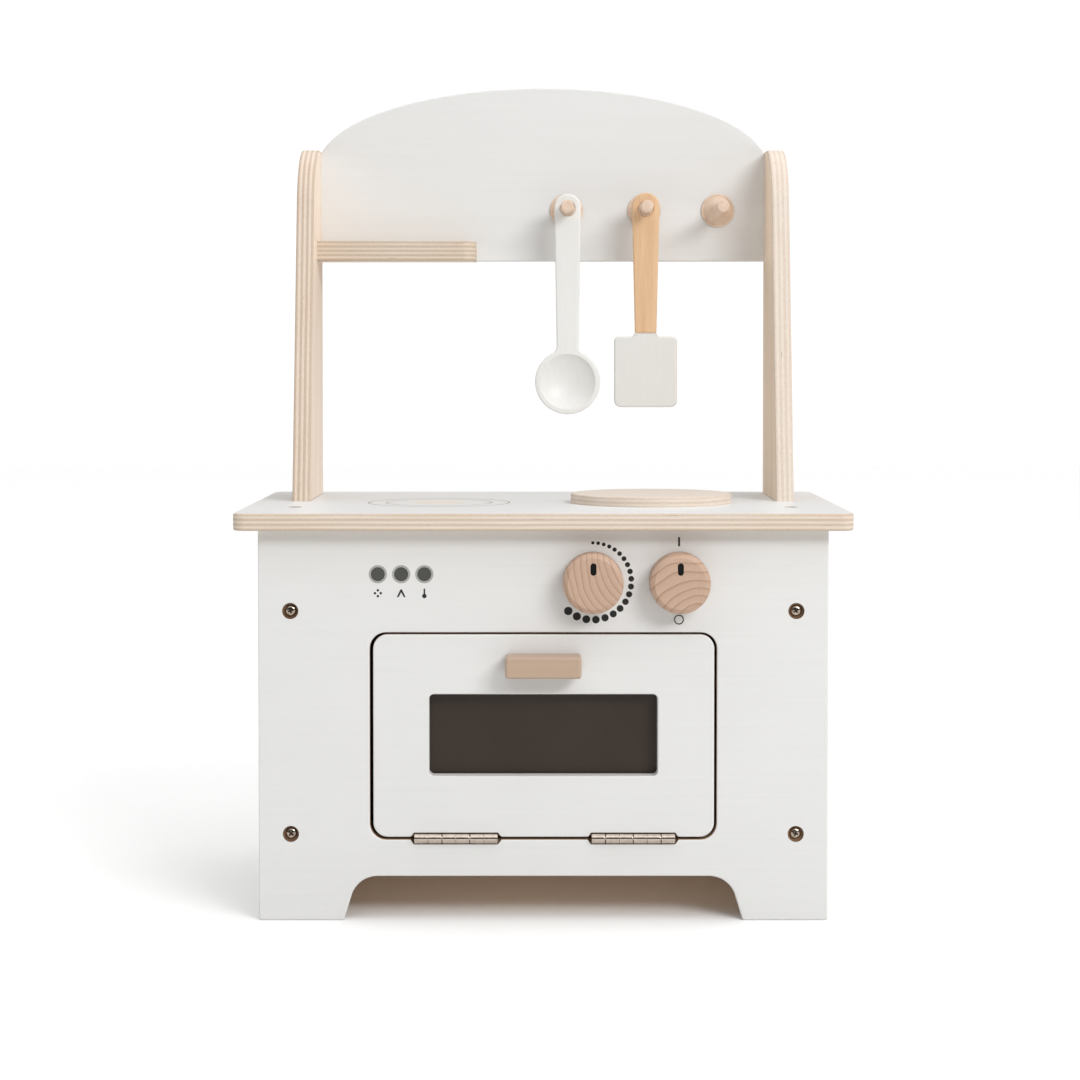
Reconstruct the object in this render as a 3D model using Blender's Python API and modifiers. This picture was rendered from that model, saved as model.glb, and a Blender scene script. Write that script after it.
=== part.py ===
"""Toy kitchen: a small wooden play cooker for a child's table or floor.

A white front panel, two side panels, a back panel and an oven floor make the cabinet.
A plywood worktop lies on it, with one painted hob and one raised hob disc. Two plywood
posts stand on the worktop and hold a white backboard with an arched top, a shelf and
three turned pegs. A spoon and a spatula hang on two of the pegs. The oven door drops
forwards on two barrel hinges, and two knobs turn on the front panel.

Frame: X to the right, Y to the back, Z up. The origin is on the floor, under the middle
of the whole object.
"""
import math

import bmesh
import bpy
from mathutils import Matrix, Vector

# ---------------------------------------------------------------- driving dimensions (m)
FIT = 0.0003                    # gap kept between two pieces that touch
CLEAR = 0.0003                  # extra radius of a hole around a shank
PROUD = 0.010                   # how far a drill stands out of the face that it enters

WORKTOP_WIDTH = 0.373
WORKTOP_DEPTH = 0.238
WORKTOP_T = 0.0104
WORKTOP_TOP = 0.248
WORKTOP_CORNER = 0.008
WORKTOP_OVERHANG = 0.014        # how far the worktop stands out past the front panel

HANDLE_OUT = 0.020              # how far the door handle stands out
FRONT_Y = (HANDLE_OUT - WORKTOP_DEPTH + WORKTOP_OVERHANG) / 2
WORKTOP_BACK = FRONT_Y - WORKTOP_OVERHANG + WORKTOP_DEPTH
CABINET_TOP = WORKTOP_TOP - WORKTOP_T - FIT

PANEL_WIDTH = 0.345
PANEL_T = 0.010
PANEL_REAR = FRONT_Y + PANEL_T
ARCH_TOP = 0.0269
ARCH_FLOOR_X = 0.1210           # half width of the arch at the floor
ARCH_LEAN = 0.0082              # how far its sides lean in by the top
ARCH_CORNER = 0.0165
FOOT_CORNER = 0.0016

SIDE_X = 0.1535                 # middle of a side panel
SIDE_T = 0.012
CABINET_BACK = WORKTOP_BACK - WORKTOP_OVERHANG
BACK_T = 0.010
BACK_LIFT = 0.001
OVEN_FLOOR_TOP = 0.0490
OVEN_FLOOR_T = 0.0095

OPENING_HALF = 0.1050
OPENING_BOTTOM = 0.0491
OPENING_TOP = 0.1752
OPENING_CORNER = 0.0100
DOOR_HALF = 0.1035
DOOR_BOTTOM = 0.0508
DOOR_TOP = 0.1740
DOOR_CORNER = 0.0088
WINDOW_HALF = 0.0692
WINDOW_BOTTOM = 0.0880
WINDOW_TOP = 0.1376
WINDOW_CORNER = 0.0030
PANE_LAP = 0.006                # how far the pane laps over the window's edge
PANE_T = 0.003
PANE_CORNER = 0.002

HANDLE_WIDTH = 0.0456
HANDLE_HEIGHT = 0.0131
HANDLE_Z = 0.1561
HANDLE_SCREW_X = 0.0140
HANDLE_SCREW_LENGTH = 0.021

HINGE_Z = (OPENING_BOTTOM + DOOR_BOTTOM) / 2
HINGE_CENTRES = {"left": -0.0529, "right": 0.0545}
HINGE_LENGTH = 0.0502
BARREL_R = 0.0030
PIN_R = 0.0010
PIN_BORE_R = 0.00125
KNUCKLES = 6
KNUCKLE_GAP = 0.00035
LEAF_T = 0.0005
LEAF_OFFSET = 0.0005            # middle of a leaf, from the middle of the gap
LEAF_NEAR = 0.0034              # leaf's front edge, behind the pin
LEAF_TAB = 0.0019               # front edge of the tabs that run into the knuckles
LEAF_TAB_INSET = 0.0004         # a tab is this much narrower than its knuckle, each side
LEAF_FAR = 0.0094               # leaf's rear edge, behind the pin
NOTCH_R = 0.0036                # half height of the notch around the barrel
NOTCH_SLOPE = 0.0027
NOTCH_DEPTH = 0.0038
NOTCH_END = 0.0004              # gap between the barrel's end and the notch
LEAF_BED = 0.00105              # half height of the bed sawn for both leaves
LEAF_SCREW_X = 0.0165
LEAF_SCREW_Y = 0.0068
LEAF_SCREW_LENGTH = 0.009
LEAF_SCREW_HEAD_R = 0.0016
LEAF_SCREW_R = 0.0008

BATTEN_HALF = 0.060
BATTEN_BOTTOM = 0.1650
BATTEN_TOP = 0.1850
BATTEN_T = 0.012
CATCH_Z = 0.1693
MAGNET_R = 0.0040
MAGNET_T = 0.005
STRIKE_R = 0.0042
STRIKE_T = 0.0012

KNOB_R = 0.0181
KNOB_T = 0.0184
KNOB_STANDOFF = 0.0006
KNOB_Z = 0.2062
KNOB_XS = {"left": 0.0299, "right": 0.0820}
POINTER_WIDTH = 0.0034
POINTER_LENGTH = 0.0073
POINTER_RISE = 0.0088
POINTER_T = 0.0012
AXLE_R = 0.0020
AXLE_IN_KNOB = 0.011
AXLE_HEAD_R = 0.0038
AXLE_HEAD_T = 0.0028
WASHER_R = 0.0060
WASHER_T = 0.0010

POST_INNER = 0.1515
POST_T = 0.0115
POST_REAR = FRONT_Y + 0.205
POST_FOOT_FRONT = FRONT_Y + 0.109
POST_TOP = 0.4820
POST_TOP_FRONT = FRONT_Y + 0.1505
POST_CROWN_R = 0.045            # the big curve at the top of the front edge
DOWEL_X = 0.1555
DOWEL_YS = {"front": FRONT_Y + 0.130, "rear": FRONT_Y + 0.188}
DOWEL_R = 0.0030
DOWEL_IN = 0.014                # how far a dowel goes into the post and the side panel

BOARD_T = 0.009
BOARD_FRONT = POST_REAR - BOARD_T
BOARD_HALF = POST_INNER - FIT
BOARD_BOTTOM = 0.4072
BOARD_ARCH_Z = 0.4719           # centre of the ellipse of the arched top
BOARD_ARCH_A = 0.1535
BOARD_ARCH_B = 0.0535

SHELF_RIGHT = -0.0452
SHELF_FRONT = FRONT_Y + 0.1635
SHELF_BOTTOM = 0.4065
SHELF_TOP = 0.4195
SHELF_CORNER = 0.009

PEG_XS = {"left": 0.0161, "middle": 0.0691, "right": 0.1194}
PEG_Z = 0.4418
PEG_BASE_R = 0.01125
PEG_R = 0.0041
PEG_LENGTH = 0.050
PEG_CONE = 0.0160
TENON_R = 0.0040
TENON_LENGTH = 0.006

HANG_R = 0.0049                 # radius of the hole that a utensil hangs by
HANG_DROP = 0.0005              # the hole's centre hangs this far below the peg's axis
HANG_FRONT = BOARD_FRONT - 0.030
UTENSIL_T = 0.006
SPOON_TOP = 0.4514
SPOON_BOTTOM = 0.3032
SPOON_TOP_HALF = 0.0089
SPOON_NECK_HALF = 0.0074
SPOON_NECK_R = 0.0050
BOWL_R = 0.0220
BOWL_DEPTH = 0.0100
BOWL_RIM_R = 0.0191
BOWL_HOLLOW = 0.0072
SPATULA_TOP = 0.4521
SPATULA_TOP_HALF = 0.0092
SPATULA_NECK_HALF = 0.0072
SPATULA_NECK = 0.3577
BLADE_T = 0.005
BLADE_BOTTOM = 0.3080
BLADE_SHOULDER = 0.3556
BLADE_HALF = 0.0212
TONGUE_WIDTH = 0.008
TONGUE_T = 0.0020
TONGUE_LENGTH = 0.014
TONGUE_ROOT = 0.005             # how far the tongue reaches up into the handle

HOB_X = 0.0695
HOB_Y = FRONT_Y + 0.098
HOB_R = 0.0517
HOB_T = 0.0058

FRONT_SCREW_X = 0.1530
FRONT_SCREW_ZS = {"upper": 0.1882, "lower": 0.0527}
FRONT_SCREW_LENGTH = 0.030
WORKTOP_SCREW_X = 0.1550
WORKTOP_SCREW_Y = FRONT_Y + 0.051
WORKTOP_SCREW_LENGTH = 0.032
WORKTOP_SCREW_HEAD_R = 0.0042
WORKTOP_SCREW_SINK = 0.0002     # its head lies this far below the worktop's face
RECESS_R = 0.0049
RECESS_DEPTH = 0.0034
SCREW_HEAD_R = 0.0036
SCREW_HEAD_T = 0.0022
SCREW_R = 0.0018
POST_SCREW_HEAD_R = 0.0033
POST_SCREW_LENGTH = 0.034
BOARD_SCREW_ZS = {"left": 0.462, "right": 0.445}

# ---------------------------------------------------------------- scene and materials
for old in list(bpy.data.objects):
    bpy.data.objects.remove(old, do_unlink=True)

PARTS = bpy.data.collections.new("toy_kitchen")
CUTTERS = bpy.data.collections.new("cutters")
bpy.context.scene.collection.children.link(PARTS)
bpy.context.scene.collection.children.link(CUTTERS)


def material(name, colour, roughness, metallic=0.0):
    made = bpy.data.materials.new(name)
    made.use_nodes = True
    shader = made.node_tree.nodes["Principled BSDF"]
    shader.inputs["Base Color"].default_value = (*colour, 1.0)
    shader.inputs["Roughness"].default_value = roughness
    shader.inputs["Metallic"].default_value = metallic
    return made


WHITE_PAINT = material("white_paint", (0.80, 0.80, 0.79), 0.45)
PLYWOOD = material("birch_plywood", (0.80, 0.66, 0.52), 0.55)
BEECH = material("beech", (0.72, 0.47, 0.32), 0.50)
TAN_PAINT = material("tan_paint", (0.55, 0.40, 0.30), 0.45)
UTENSIL_PAINT = material("utensil_paint", (0.76, 0.76, 0.73), 0.40)
STEEL = material("nickel_steel", (0.55, 0.52, 0.48), 0.28, 1.0)
DARK_STEEL = material("bronzed_steel", (0.16, 0.13, 0.10), 0.35, 1.0)
ACRYLIC = material("smoked_acrylic", (0.045, 0.035, 0.030), 0.15)
BLACK = material("black_inlay", (0.02, 0.02, 0.02), 0.50)
FERRITE = material("magnet_ferrite", (0.05, 0.05, 0.05), 0.50)

# ---------------------------------------------------------------- shape helpers
FACING = {                      # where an outline's (u, v) plane lies in the world
    "up": Matrix.Identity(4),
    "front": Matrix.Rotation(math.pi / 2, 4, "X"),
    "side": Matrix(((0, 0, 1, 0), (1, 0, 0, 0), (0, 1, 0, 0), (0, 0, 0, 1))),
}
POINTING = {                    # where a turned piece's own +Z points in the world
    "up": Matrix.Identity(4),
    "down": Matrix.Rotation(math.pi, 4, "X"),
    "forward": Matrix.Rotation(math.pi / 2, 4, "X"),
    "back": Matrix.Rotation(-math.pi / 2, 4, "X"),
    "right": Matrix.Rotation(math.pi / 2, 4, "Y"),
    "left": Matrix.Rotation(-math.pi / 2, 4, "Y"),
}


def add(name, mesh, matrix, finish=None):
    """Link a mesh as a part, or as a hidden cutter when it has no finish."""
    piece = bpy.data.objects.new(name, mesh)
    piece.matrix_world = matrix
    if finish is None:
        CUTTERS.objects.link(piece)
        piece.hide_render = True
        piece.display_type = "WIRE"
    else:
        PARTS.objects.link(piece)
        mesh.materials.clear()
        mesh.materials.append(finish)
    return piece


def arc(u, v, radius, start, end, steps):
    """Points along an arc about (u, v), from one angle to another, in radians."""
    turns = [start + (end - start) * i / steps for i in range(steps + 1)]
    return [(u + radius * math.cos(a), v + radius * math.sin(a)) for a in turns]


def circle(u, v, radius, steps):
    return arc(u, v, radius, 0, 2 * math.pi, steps)[:-1]


def rounded(corners, steps=5):
    """A closed outline from corners (u, v, radius), each corner turned into an arc."""
    points = []
    for i, (u, v, radius) in enumerate(corners):
        corner = Vector((u, v))
        if radius == 0:
            points.append((u, v))
            continue
        before = (Vector(corners[i - 1][:2]) - corner).normalized()
        after = (Vector(corners[(i + 1) % len(corners)][:2]) - corner).normalized()
        half = before.angle(after) / 2
        centre = corner + (before + after).normalized() * radius / math.sin(half)
        start = corner + before * radius / math.tan(half) - centre
        end = corner + after * radius / math.tan(half) - centre
        first = math.atan2(start.y, start.x)
        turn = (math.atan2(end.y, end.x) - first + math.pi) % (2 * math.pi) - math.pi
        points += arc(centre.x, centre.y, radius, first, first + turn, steps)
    return points


def rectangle(half, low, high, radius, steps=5):
    """A rounded rectangle, centred on u = 0, from v = low to v = high."""
    return rounded([(-half, low, radius), (half, low, radius),
                    (half, high, radius), (-half, high, radius)], steps)


def board(name, loops, thickness, middle, facing, finish=None):
    """A flat piece: outlines filled and extruded. Inner loops are holes.

    middle is where the middle of its thickness lies along the axis it faces.
    """
    outline = bpy.data.curves.new(name, "CURVE")
    outline.dimensions = "2D"
    outline.fill_mode = "BOTH"
    outline.extrude = thickness / 2
    for loop in loops:
        spline = outline.splines.new("POLY")
        spline.points.add(len(loop) - 1)
        for point, (u, v) in zip(spline.points, loop):
            point.co = (u, v, 0, 1)
        spline.use_cyclic_u = True
    guide = bpy.data.objects.new(name + "_outline", outline)
    axis = {"up": (0, 0, 1), "front": (0, 1, 0), "side": (1, 0, 0)}[facing]
    guide.matrix_world = Matrix.Translation(Vector(axis) * middle) @ FACING[facing]
    PARTS.objects.link(guide)
    view = bpy.context.evaluated_depsgraph_get()
    mesh = bpy.data.meshes.new_from_object(guide.evaluated_get(view))
    work = bmesh.new()
    work.from_mesh(mesh)
    bmesh.ops.remove_doubles(work, verts=work.verts, dist=1e-6)
    bmesh.ops.recalc_face_normals(work, faces=work.faces)
    work.to_mesh(mesh)
    work.free()
    mesh.name = name
    piece = add(name, mesh, guide.matrix_world.copy(), finish)
    bpy.data.objects.remove(guide, do_unlink=True)
    return piece


def block(name, low, high, finish=None):
    """A rectangular piece between two corners."""
    low, high = Vector(low), Vector(high)
    work = bmesh.new()
    bmesh.ops.create_cube(work, size=1.0)
    bmesh.ops.scale(work, vec=high - low, verts=work.verts)
    mesh = bpy.data.meshes.new(name)
    work.to_mesh(mesh)
    work.free()
    return add(name, mesh, Matrix.Translation((low + high) / 2), finish)


def turned(name, profile, place, pointing, finish=None, steps=24):
    """A turned piece: a profile of (radius, height), from its top down to its foot."""
    mesh = bpy.data.meshes.new(name)
    points = [(radius, 0, height) for radius, height in profile]
    mesh.from_pydata(points, [(i, i + 1) for i in range(len(points) - 1)], [])
    piece = add(name, mesh, Matrix.Translation(place) @ POINTING[pointing], finish)
    spin = piece.modifiers.new("turn", "SCREW")
    spin.steps = steps
    spin.render_steps = steps
    spin.use_merge_vertices = True
    spin.merge_threshold = 1e-6
    spin.use_smooth_shade = False
    return piece


def rod(name, radius, low, high, place, pointing, finish=None, steps=16):
    """A plain round bar or drill, from low to high along the way it points."""
    profile = [(0, high), (radius, high), (radius, low), (0, low)]
    return turned(name, profile, place, pointing, finish, steps)


def combine(piece, other, operation):
    change = piece.modifiers.new(other.name, "BOOLEAN")
    change.operation = operation
    change.solver = "EXACT"
    change.object = other


def cut(cutter, *pieces):
    for piece in pieces:
        combine(piece, cutter, "DIFFERENCE")


def join(piece, helper):
    combine(piece, helper, "UNION")


def soften(piece, width, segments=2):
    """Ease the sharp edges of a piece that has been sawn or moulded."""
    edge = piece.modifiers.new("eased_edges", "BEVEL")
    edge.width = width
    edge.segments = segments
    edge.limit_method = "ANGLE"
    edge.angle_limit = math.radians(40)


def drilled(name, profile, place, pointing, pieces, steps):
    """Cut one stepped hole, given as a turned profile, through several pieces."""
    cut(turned(name + "_drill", profile, place, pointing, steps=steps), *pieces)


def sunk_screw(name, place, pointing, length, pieces, head_r, shank_r, finish, steps=12):
    """A flat-headed screw, level with place, in its countersunk hole."""
    slope, hole_r, rise = head_r - shank_r, shank_r + CLEAR, 0.0004
    drilled(name, [(0, rise), (head_r + CLEAR + rise, rise), (hole_r, -slope),
                   (hole_r, -length - CLEAR), (0, -length - CLEAR)],
            place, pointing, pieces, steps)
    turned(name, [(0, 0), (head_r, 0), (shank_r, -slope), (shank_r, 2 * shank_r - length),
                  (0, -length)], place, pointing, finish, steps)


def seated_screw(name, place, pointing, length, pieces, recess_r, head_r=SCREW_HEAD_R,
                 finish=DARK_STEEL, steps=16):
    """A domed screw whose head sits at place, on the floor of a round recess."""
    hole_r, low = SCREW_R + CLEAR, -length - CLEAR
    drilled(name, [(0, PROUD), (recess_r, PROUD), (recess_r, -FIT), (hole_r, -FIT),
                   (hole_r, low), (0, low)], place, pointing, pieces, steps)
    turned(name, [(0, SCREW_HEAD_T), (0.8 * head_r, 0.75 * SCREW_HEAD_T),
                  (head_r, 0.15 * SCREW_HEAD_T), (head_r, 0), (SCREW_R, 0),
                  (SCREW_R, 2 * SCREW_R - length), (0, -length)],
           place, pointing, finish, steps - 4)


# ---------------------------------------------------------------- cabinet
def front_panel():
    """White panel with the feet and arch below and the oven's opening."""
    half = PANEL_WIDTH / 2
    lean = ARCH_FLOOR_X - ARCH_LEAN
    outer = rounded([
        (-half, 0, FOOT_CORNER), (-ARCH_FLOOR_X, 0, 0.0004),
        (-lean, ARCH_TOP, ARCH_CORNER), (lean, ARCH_TOP, ARCH_CORNER),
        (ARCH_FLOOR_X, 0, 0.0004), (half, 0, FOOT_CORNER),
        (half, CABINET_TOP, 0), (-half, CABINET_TOP, 0)])
    opening = rectangle(OPENING_HALF, OPENING_BOTTOM, OPENING_TOP, OPENING_CORNER)
    return board("front_panel", [outer, opening], PANEL_T, FRONT_Y + PANEL_T / 2, "front",
                 WHITE_PAINT)


def side_panel(side, sign):
    low = (sign * SIDE_X - SIDE_T / 2, PANEL_REAR + FIT, 0)
    high = (sign * SIDE_X + SIDE_T / 2, CABINET_BACK, CABINET_TOP)
    return block(side + "_side_panel", low, high, WHITE_PAINT)


def back_panel():
    half = SIDE_X - SIDE_T / 2 - FIT
    return block("back_panel", (-half, CABINET_BACK - BACK_T, BACK_LIFT),
                 (half, CABINET_BACK, CABINET_TOP), WHITE_PAINT)


def oven_floor():
    half = SIDE_X - SIDE_T / 2 - FIT
    return block("oven_floor", (-half, PANEL_REAR + FIT, OVEN_FLOOR_TOP - OVEN_FLOOR_T),
                 (half, CABINET_BACK - BACK_T - FIT, OVEN_FLOOR_TOP), PLYWOOD)


def worktop():
    half = WORKTOP_WIDTH / 2
    outline = rectangle(half, FRONT_Y - WORKTOP_OVERHANG, WORKTOP_BACK, WORKTOP_CORNER, 6)
    return board("worktop", [outline], WORKTOP_T, WORKTOP_TOP - WORKTOP_T / 2, "up",
                 WHITE_PAINT)


def cabinet_screws(panel, sides):
    """Four recessed screws hold the front panel to the front edges of the sides."""
    for side, sign in (("left", -1), ("right", 1)):
        for level, z in FRONT_SCREW_ZS.items():
            seat = (sign * FRONT_SCREW_X, FRONT_Y + RECESS_DEPTH, z)
            seated_screw(f"{side}_{level}_front_screw", seat, "forward",
                         FRONT_SCREW_LENGTH, (panel, sides[side]), RECESS_R)


def worktop_screws(top, sides):
    """Two flat-headed screws hold the worktop to the side panels, level with its top."""
    for side, sign in (("left", -1), ("right", 1)):
        place = (sign * WORKTOP_SCREW_X, WORKTOP_SCREW_Y, WORKTOP_TOP - WORKTOP_SCREW_SINK)
        sunk_screw(side + "_worktop_screw", place, "up", WORKTOP_SCREW_LENGTH,
                   (top, sides[side]), WORKTOP_SCREW_HEAD_R, SCREW_R, DARK_STEEL, 16)


# ---------------------------------------------------------------- oven door and hinges
def oven_door():
    outline = rectangle(DOOR_HALF, DOOR_BOTTOM, DOOR_TOP, DOOR_CORNER)
    window = rectangle(WINDOW_HALF, WINDOW_BOTTOM, WINDOW_TOP, WINDOW_CORNER, 4)
    return board("oven_door", [outline, window], PANEL_T, FRONT_Y + PANEL_T / 2, "front",
                 WHITE_PAINT)


def window_pane():
    """Smoked pane, glued over the window on the back of the door."""
    outline = rectangle(WINDOW_HALF + PANE_LAP, WINDOW_BOTTOM - PANE_LAP,
                        WINDOW_TOP + PANE_LAP, PANE_CORNER, 3)
    return board("window_pane", [outline], PANE_T, PANEL_REAR + FIT + PANE_T / 2, "front",
                 ACRYLIC)


def door_handle(door):
    """A small block, screwed on from the back of the door by two screws."""
    half = HANDLE_HEIGHT / 2
    handle = block("door_handle", (-HANDLE_WIDTH / 2, FRONT_Y - HANDLE_OUT, HANDLE_Z - half),
                   (HANDLE_WIDTH / 2, FRONT_Y - FIT, HANDLE_Z + half), TAN_PAINT)
    soften(handle, 0.0014, 2)
    for side, sign in (("left", -1), ("right", 1)):
        seat = (sign * HANDLE_SCREW_X, PANEL_REAR - SCREW_HEAD_T - FIT, HANDLE_Z)
        seated_screw(side + "_handle_screw", seat, "back", HANDLE_SCREW_LENGTH,
                     (door, handle), SCREW_HEAD_R + FIT)


def knuckle_spans(centre_x, first):
    """Start and end of every second knuckle along the barrel, counted from first."""
    length = (HINGE_LENGTH - (KNUCKLES - 1) * KNUCKLE_GAP) / KNUCKLES
    left = centre_x - HINGE_LENGTH / 2
    starts = [left + k * (length + KNUCKLE_GAP) for k in range(first, KNUCKLES, 2)]
    return [(start, start + length) for start in starts]


def hinge_leaf(name, centre_x, first, sign):
    """A flat strip with a tab running into each of its three rolled knuckles."""
    half, middle = HINGE_LENGTH / 2, HINGE_Z + sign * LEAF_OFFSET
    low, high = middle - LEAF_T / 2, middle + LEAF_T / 2
    leaf = block(name, (centre_x - half, FRONT_Y + LEAF_NEAR, low),
                 (centre_x + half, FRONT_Y + LEAF_FAR, high), STEEL)
    for number, (start, end) in enumerate(knuckle_spans(centre_x, first), 1):
        tab = block(f"{name}_tab_{number}",
                    (start + LEAF_TAB_INSET, FRONT_Y + LEAF_TAB, low + 0.00002),
                    (end - LEAF_TAB_INSET, FRONT_Y + LEAF_NEAR + 0.001, high - 0.00002))
        knuckle = rod(f"{name}_knuckle_{number}", BARREL_R, start, end,
                      (0, FRONT_Y, HINGE_Z), "right", steps=12)
        join(knuckle, tab)
        join(leaf, knuckle)
    return leaf


def hinge(side, panel, door):
    """One barrel hinge: a leaf on the sill, a leaf on the door's lower edge, and a pin."""
    centre_x = HINGE_CENTRES[side]
    half = HINGE_LENGTH / 2 + NOTCH_END
    notch = board(side + "_hinge_notch", [[
        (centre_x - half - NOTCH_SLOPE, HINGE_Z), (centre_x - half, HINGE_Z - NOTCH_R),
        (centre_x + half, HINGE_Z - NOTCH_R), (centre_x + half + NOTCH_SLOPE, HINGE_Z),
        (centre_x + half, HINGE_Z + NOTCH_R), (centre_x - half, HINGE_Z + NOTCH_R)]],
        2 * PROUD, FRONT_Y + NOTCH_DEPTH - PROUD, "front")
    bed = block(side + "_leaf_bed",
                (centre_x - half, FRONT_Y + 0.002, HINGE_Z - LEAF_BED),
                (centre_x + half, FRONT_Y + LEAF_FAR + FIT, HINGE_Z + LEAF_BED))
    cut(notch, panel, door)
    cut(bed, panel, door)
    bore = rod(side + "_pin_bore", PIN_BORE_R, centre_x - half - PROUD,
               centre_x + half + PROUD, (0, FRONT_Y, HINGE_Z), "right", steps=8)
    for owner, first, sign, piece in (("cabinet", 0, -1, panel), ("door", 1, 1, door)):
        leaf = hinge_leaf(f"{side}_hinge_{owner}_leaf", centre_x, first, sign)
        inner = HINGE_Z + sign * (LEAF_OFFSET - LEAF_T / 2)
        for end, way in (("left", -1), ("right", 1)):
            place = (centre_x + way * LEAF_SCREW_X, FRONT_Y + LEAF_SCREW_Y, inner)
            sunk_screw(f"{side}_hinge_{owner}_{end}_screw", place,
                       "up" if sign < 0 else "down", LEAF_SCREW_LENGTH, (piece, leaf),
                       LEAF_SCREW_HEAD_R, LEAF_SCREW_R, STEEL, 8)
        cut(bore, leaf)
    rod(side + "_hinge_pin", PIN_R, centre_x - HINGE_LENGTH / 2,
        centre_x + HINGE_LENGTH / 2, (0, FRONT_Y, HINGE_Z), "right", STEEL, steps=10)


def door_catch(door):
    """A batten behind the opening's top edge stops the door, and a magnet holds it."""
    batten = block("door_stop_batten", (-BATTEN_HALF, PANEL_REAR + FIT, BATTEN_BOTTOM),
                   (BATTEN_HALF, PANEL_REAR + FIT + BATTEN_T, BATTEN_TOP), PLYWOOD)
    front = PANEL_REAR + FIT
    pocket = rod("magnet_pocket", MAGNET_R + FIT, -MAGNET_T - FIT, 0.001,
                 (0, front, CATCH_Z), "forward", steps=20)
    cut(pocket, batten)
    rod("catch_magnet", MAGNET_R, -MAGNET_T, 0, (0, front, CATCH_Z), "forward", FERRITE,
        steps=20)
    seat = rod("strike_pocket", STRIKE_R + FIT, -STRIKE_T - FIT, 0.001,
               (0, PANEL_REAR, CATCH_Z), "back", steps=20)
    cut(seat, door)
    rod("catch_strike_plate", STRIKE_R, -STRIKE_T, 0, (0, PANEL_REAR, CATCH_Z), "back",
        STEEL, steps=20)


# ---------------------------------------------------------------- knobs
def knob(side, panel):
    """A turned knob on a screw that comes through the panel from the back."""
    x = KNOB_XS[side]
    base = (x, FRONT_Y - KNOB_STANDOFF, KNOB_Z)
    body = turned(side + "_knob", [
        (0, KNOB_T), (KNOB_R - 0.0020, KNOB_T), (KNOB_R - 0.0006, KNOB_T - 0.0006),
        (KNOB_R, KNOB_T - 0.0020), (KNOB_R, 0), (0, 0)], base, "forward", BEECH, steps=32)
    hole = rod(side + "_knob_bore", AXLE_R + CLEAR, -PANEL_T - PROUD, AXLE_IN_KNOB + CLEAR,
               base, "forward", steps=12)
    cut(hole, body, panel)
    face = FRONT_Y - KNOB_STANDOFF - KNOB_T
    half, reach = POINTER_WIDTH / 2, POINTER_LENGTH / 2
    top = KNOB_Z + POINTER_RISE

    def pill(grow):
        rise = reach - half
        upper = arc(x, top + rise, half + grow, 0, math.pi, 6)
        lower = arc(x, top - rise, half + grow, math.pi, 2 * math.pi, 6)
        return [upper + lower]

    pocket = board(side + "_pointer_pocket", pill(0.0002), 2 * POINTER_T,
                   face + 0.0002, "front")
    cut(pocket, body)
    board(side + "_knob_pointer", pill(0), POINTER_T - 0.0001, face + POINTER_T / 2,
          "front", BLACK)
    behind = PANEL_REAR + FIT
    washer = rod(side + "_knob_washer", WASHER_R, 0, WASHER_T, (x, behind, KNOB_Z), "back",
                 STEEL, steps=16)
    cut(hole, washer)
    seat = behind + WASHER_T + FIT
    shank = seat - (FRONT_Y - KNOB_STANDOFF) + AXLE_IN_KNOB
    turned(side + "_knob_screw", [
        (0, AXLE_HEAD_T), (0.7 * AXLE_HEAD_R, 0.9 * AXLE_HEAD_T),
        (AXLE_HEAD_R, 0.5 * AXLE_HEAD_T), (AXLE_HEAD_R, 0), (AXLE_R, 0), (AXLE_R, -shank),
        (0, -shank)], (x, seat, KNOB_Z), "back", STEEL, steps=12)


# ---------------------------------------------------------------- posts, board and shelf
def post(side, sign):
    """Upright post: vertical behind, leaning back in front, with a curved crown."""
    foot = WORKTOP_TOP + FIT
    outline = rounded([
        (POST_FOOT_FRONT, foot, 0), (POST_REAR, foot, 0), (POST_REAR, POST_TOP, 0.0015),
        (POST_TOP_FRONT, POST_TOP, POST_CROWN_R)], 10)
    return board(side + "_post", [outline], POST_T, sign * (POST_INNER + POST_T / 2), "side",
                 PLYWOOD)


def post_dowels(side, sign, upright, top, side_panel_piece):
    """Two dowels run from the post through the worktop into the side panel."""
    for end, y in DOWEL_YS.items():
        low = WORKTOP_TOP - WORKTOP_T - DOWEL_IN
        high = WORKTOP_TOP + DOWEL_IN
        name = f"{side}_post_{end}_dowel"
        rod(name, DOWEL_R, low, high, (sign * DOWEL_X, y, 0), "up", BEECH, steps=12)
        drill = rod(name + "_drill", DOWEL_R + CLEAR, low - FIT, high + FIT,
                    (sign * DOWEL_X, y, 0), "up", steps=12)
        cut(drill, upright, top, side_panel_piece)


def backboard():
    """White board between the posts, its top edge half an ellipse."""
    start = math.acos(BOARD_HALF / BOARD_ARCH_A)
    steps = 30
    turns = [start + (math.pi - 2 * start) * i / steps for i in range(steps + 1)]
    crown = [(BOARD_ARCH_A * math.cos(a), BOARD_ARCH_Z + BOARD_ARCH_B * math.sin(a))
             for a in turns]
    crown[0] = (BOARD_HALF, crown[0][1])
    crown[-1] = (-BOARD_HALF, crown[-1][1])
    outline = [(-BOARD_HALF, BOARD_BOTTOM), (BOARD_HALF, BOARD_BOTTOM)] + crown
    return board("backboard", [outline], BOARD_T, POST_REAR - BOARD_T / 2, "front",
                 WHITE_PAINT)


def shelf():
    outline = rounded([
        (-BOARD_HALF, SHELF_FRONT, 0), (SHELF_RIGHT, SHELF_FRONT, SHELF_CORNER),
        (SHELF_RIGHT, BOARD_FRONT - FIT, 0), (-BOARD_HALF, BOARD_FRONT - FIT, 0)], 6)
    return board("shelf", [outline], SHELF_TOP - SHELF_BOTTOM,
                 (SHELF_TOP + SHELF_BOTTOM) / 2, "up", PLYWOOD)


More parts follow.
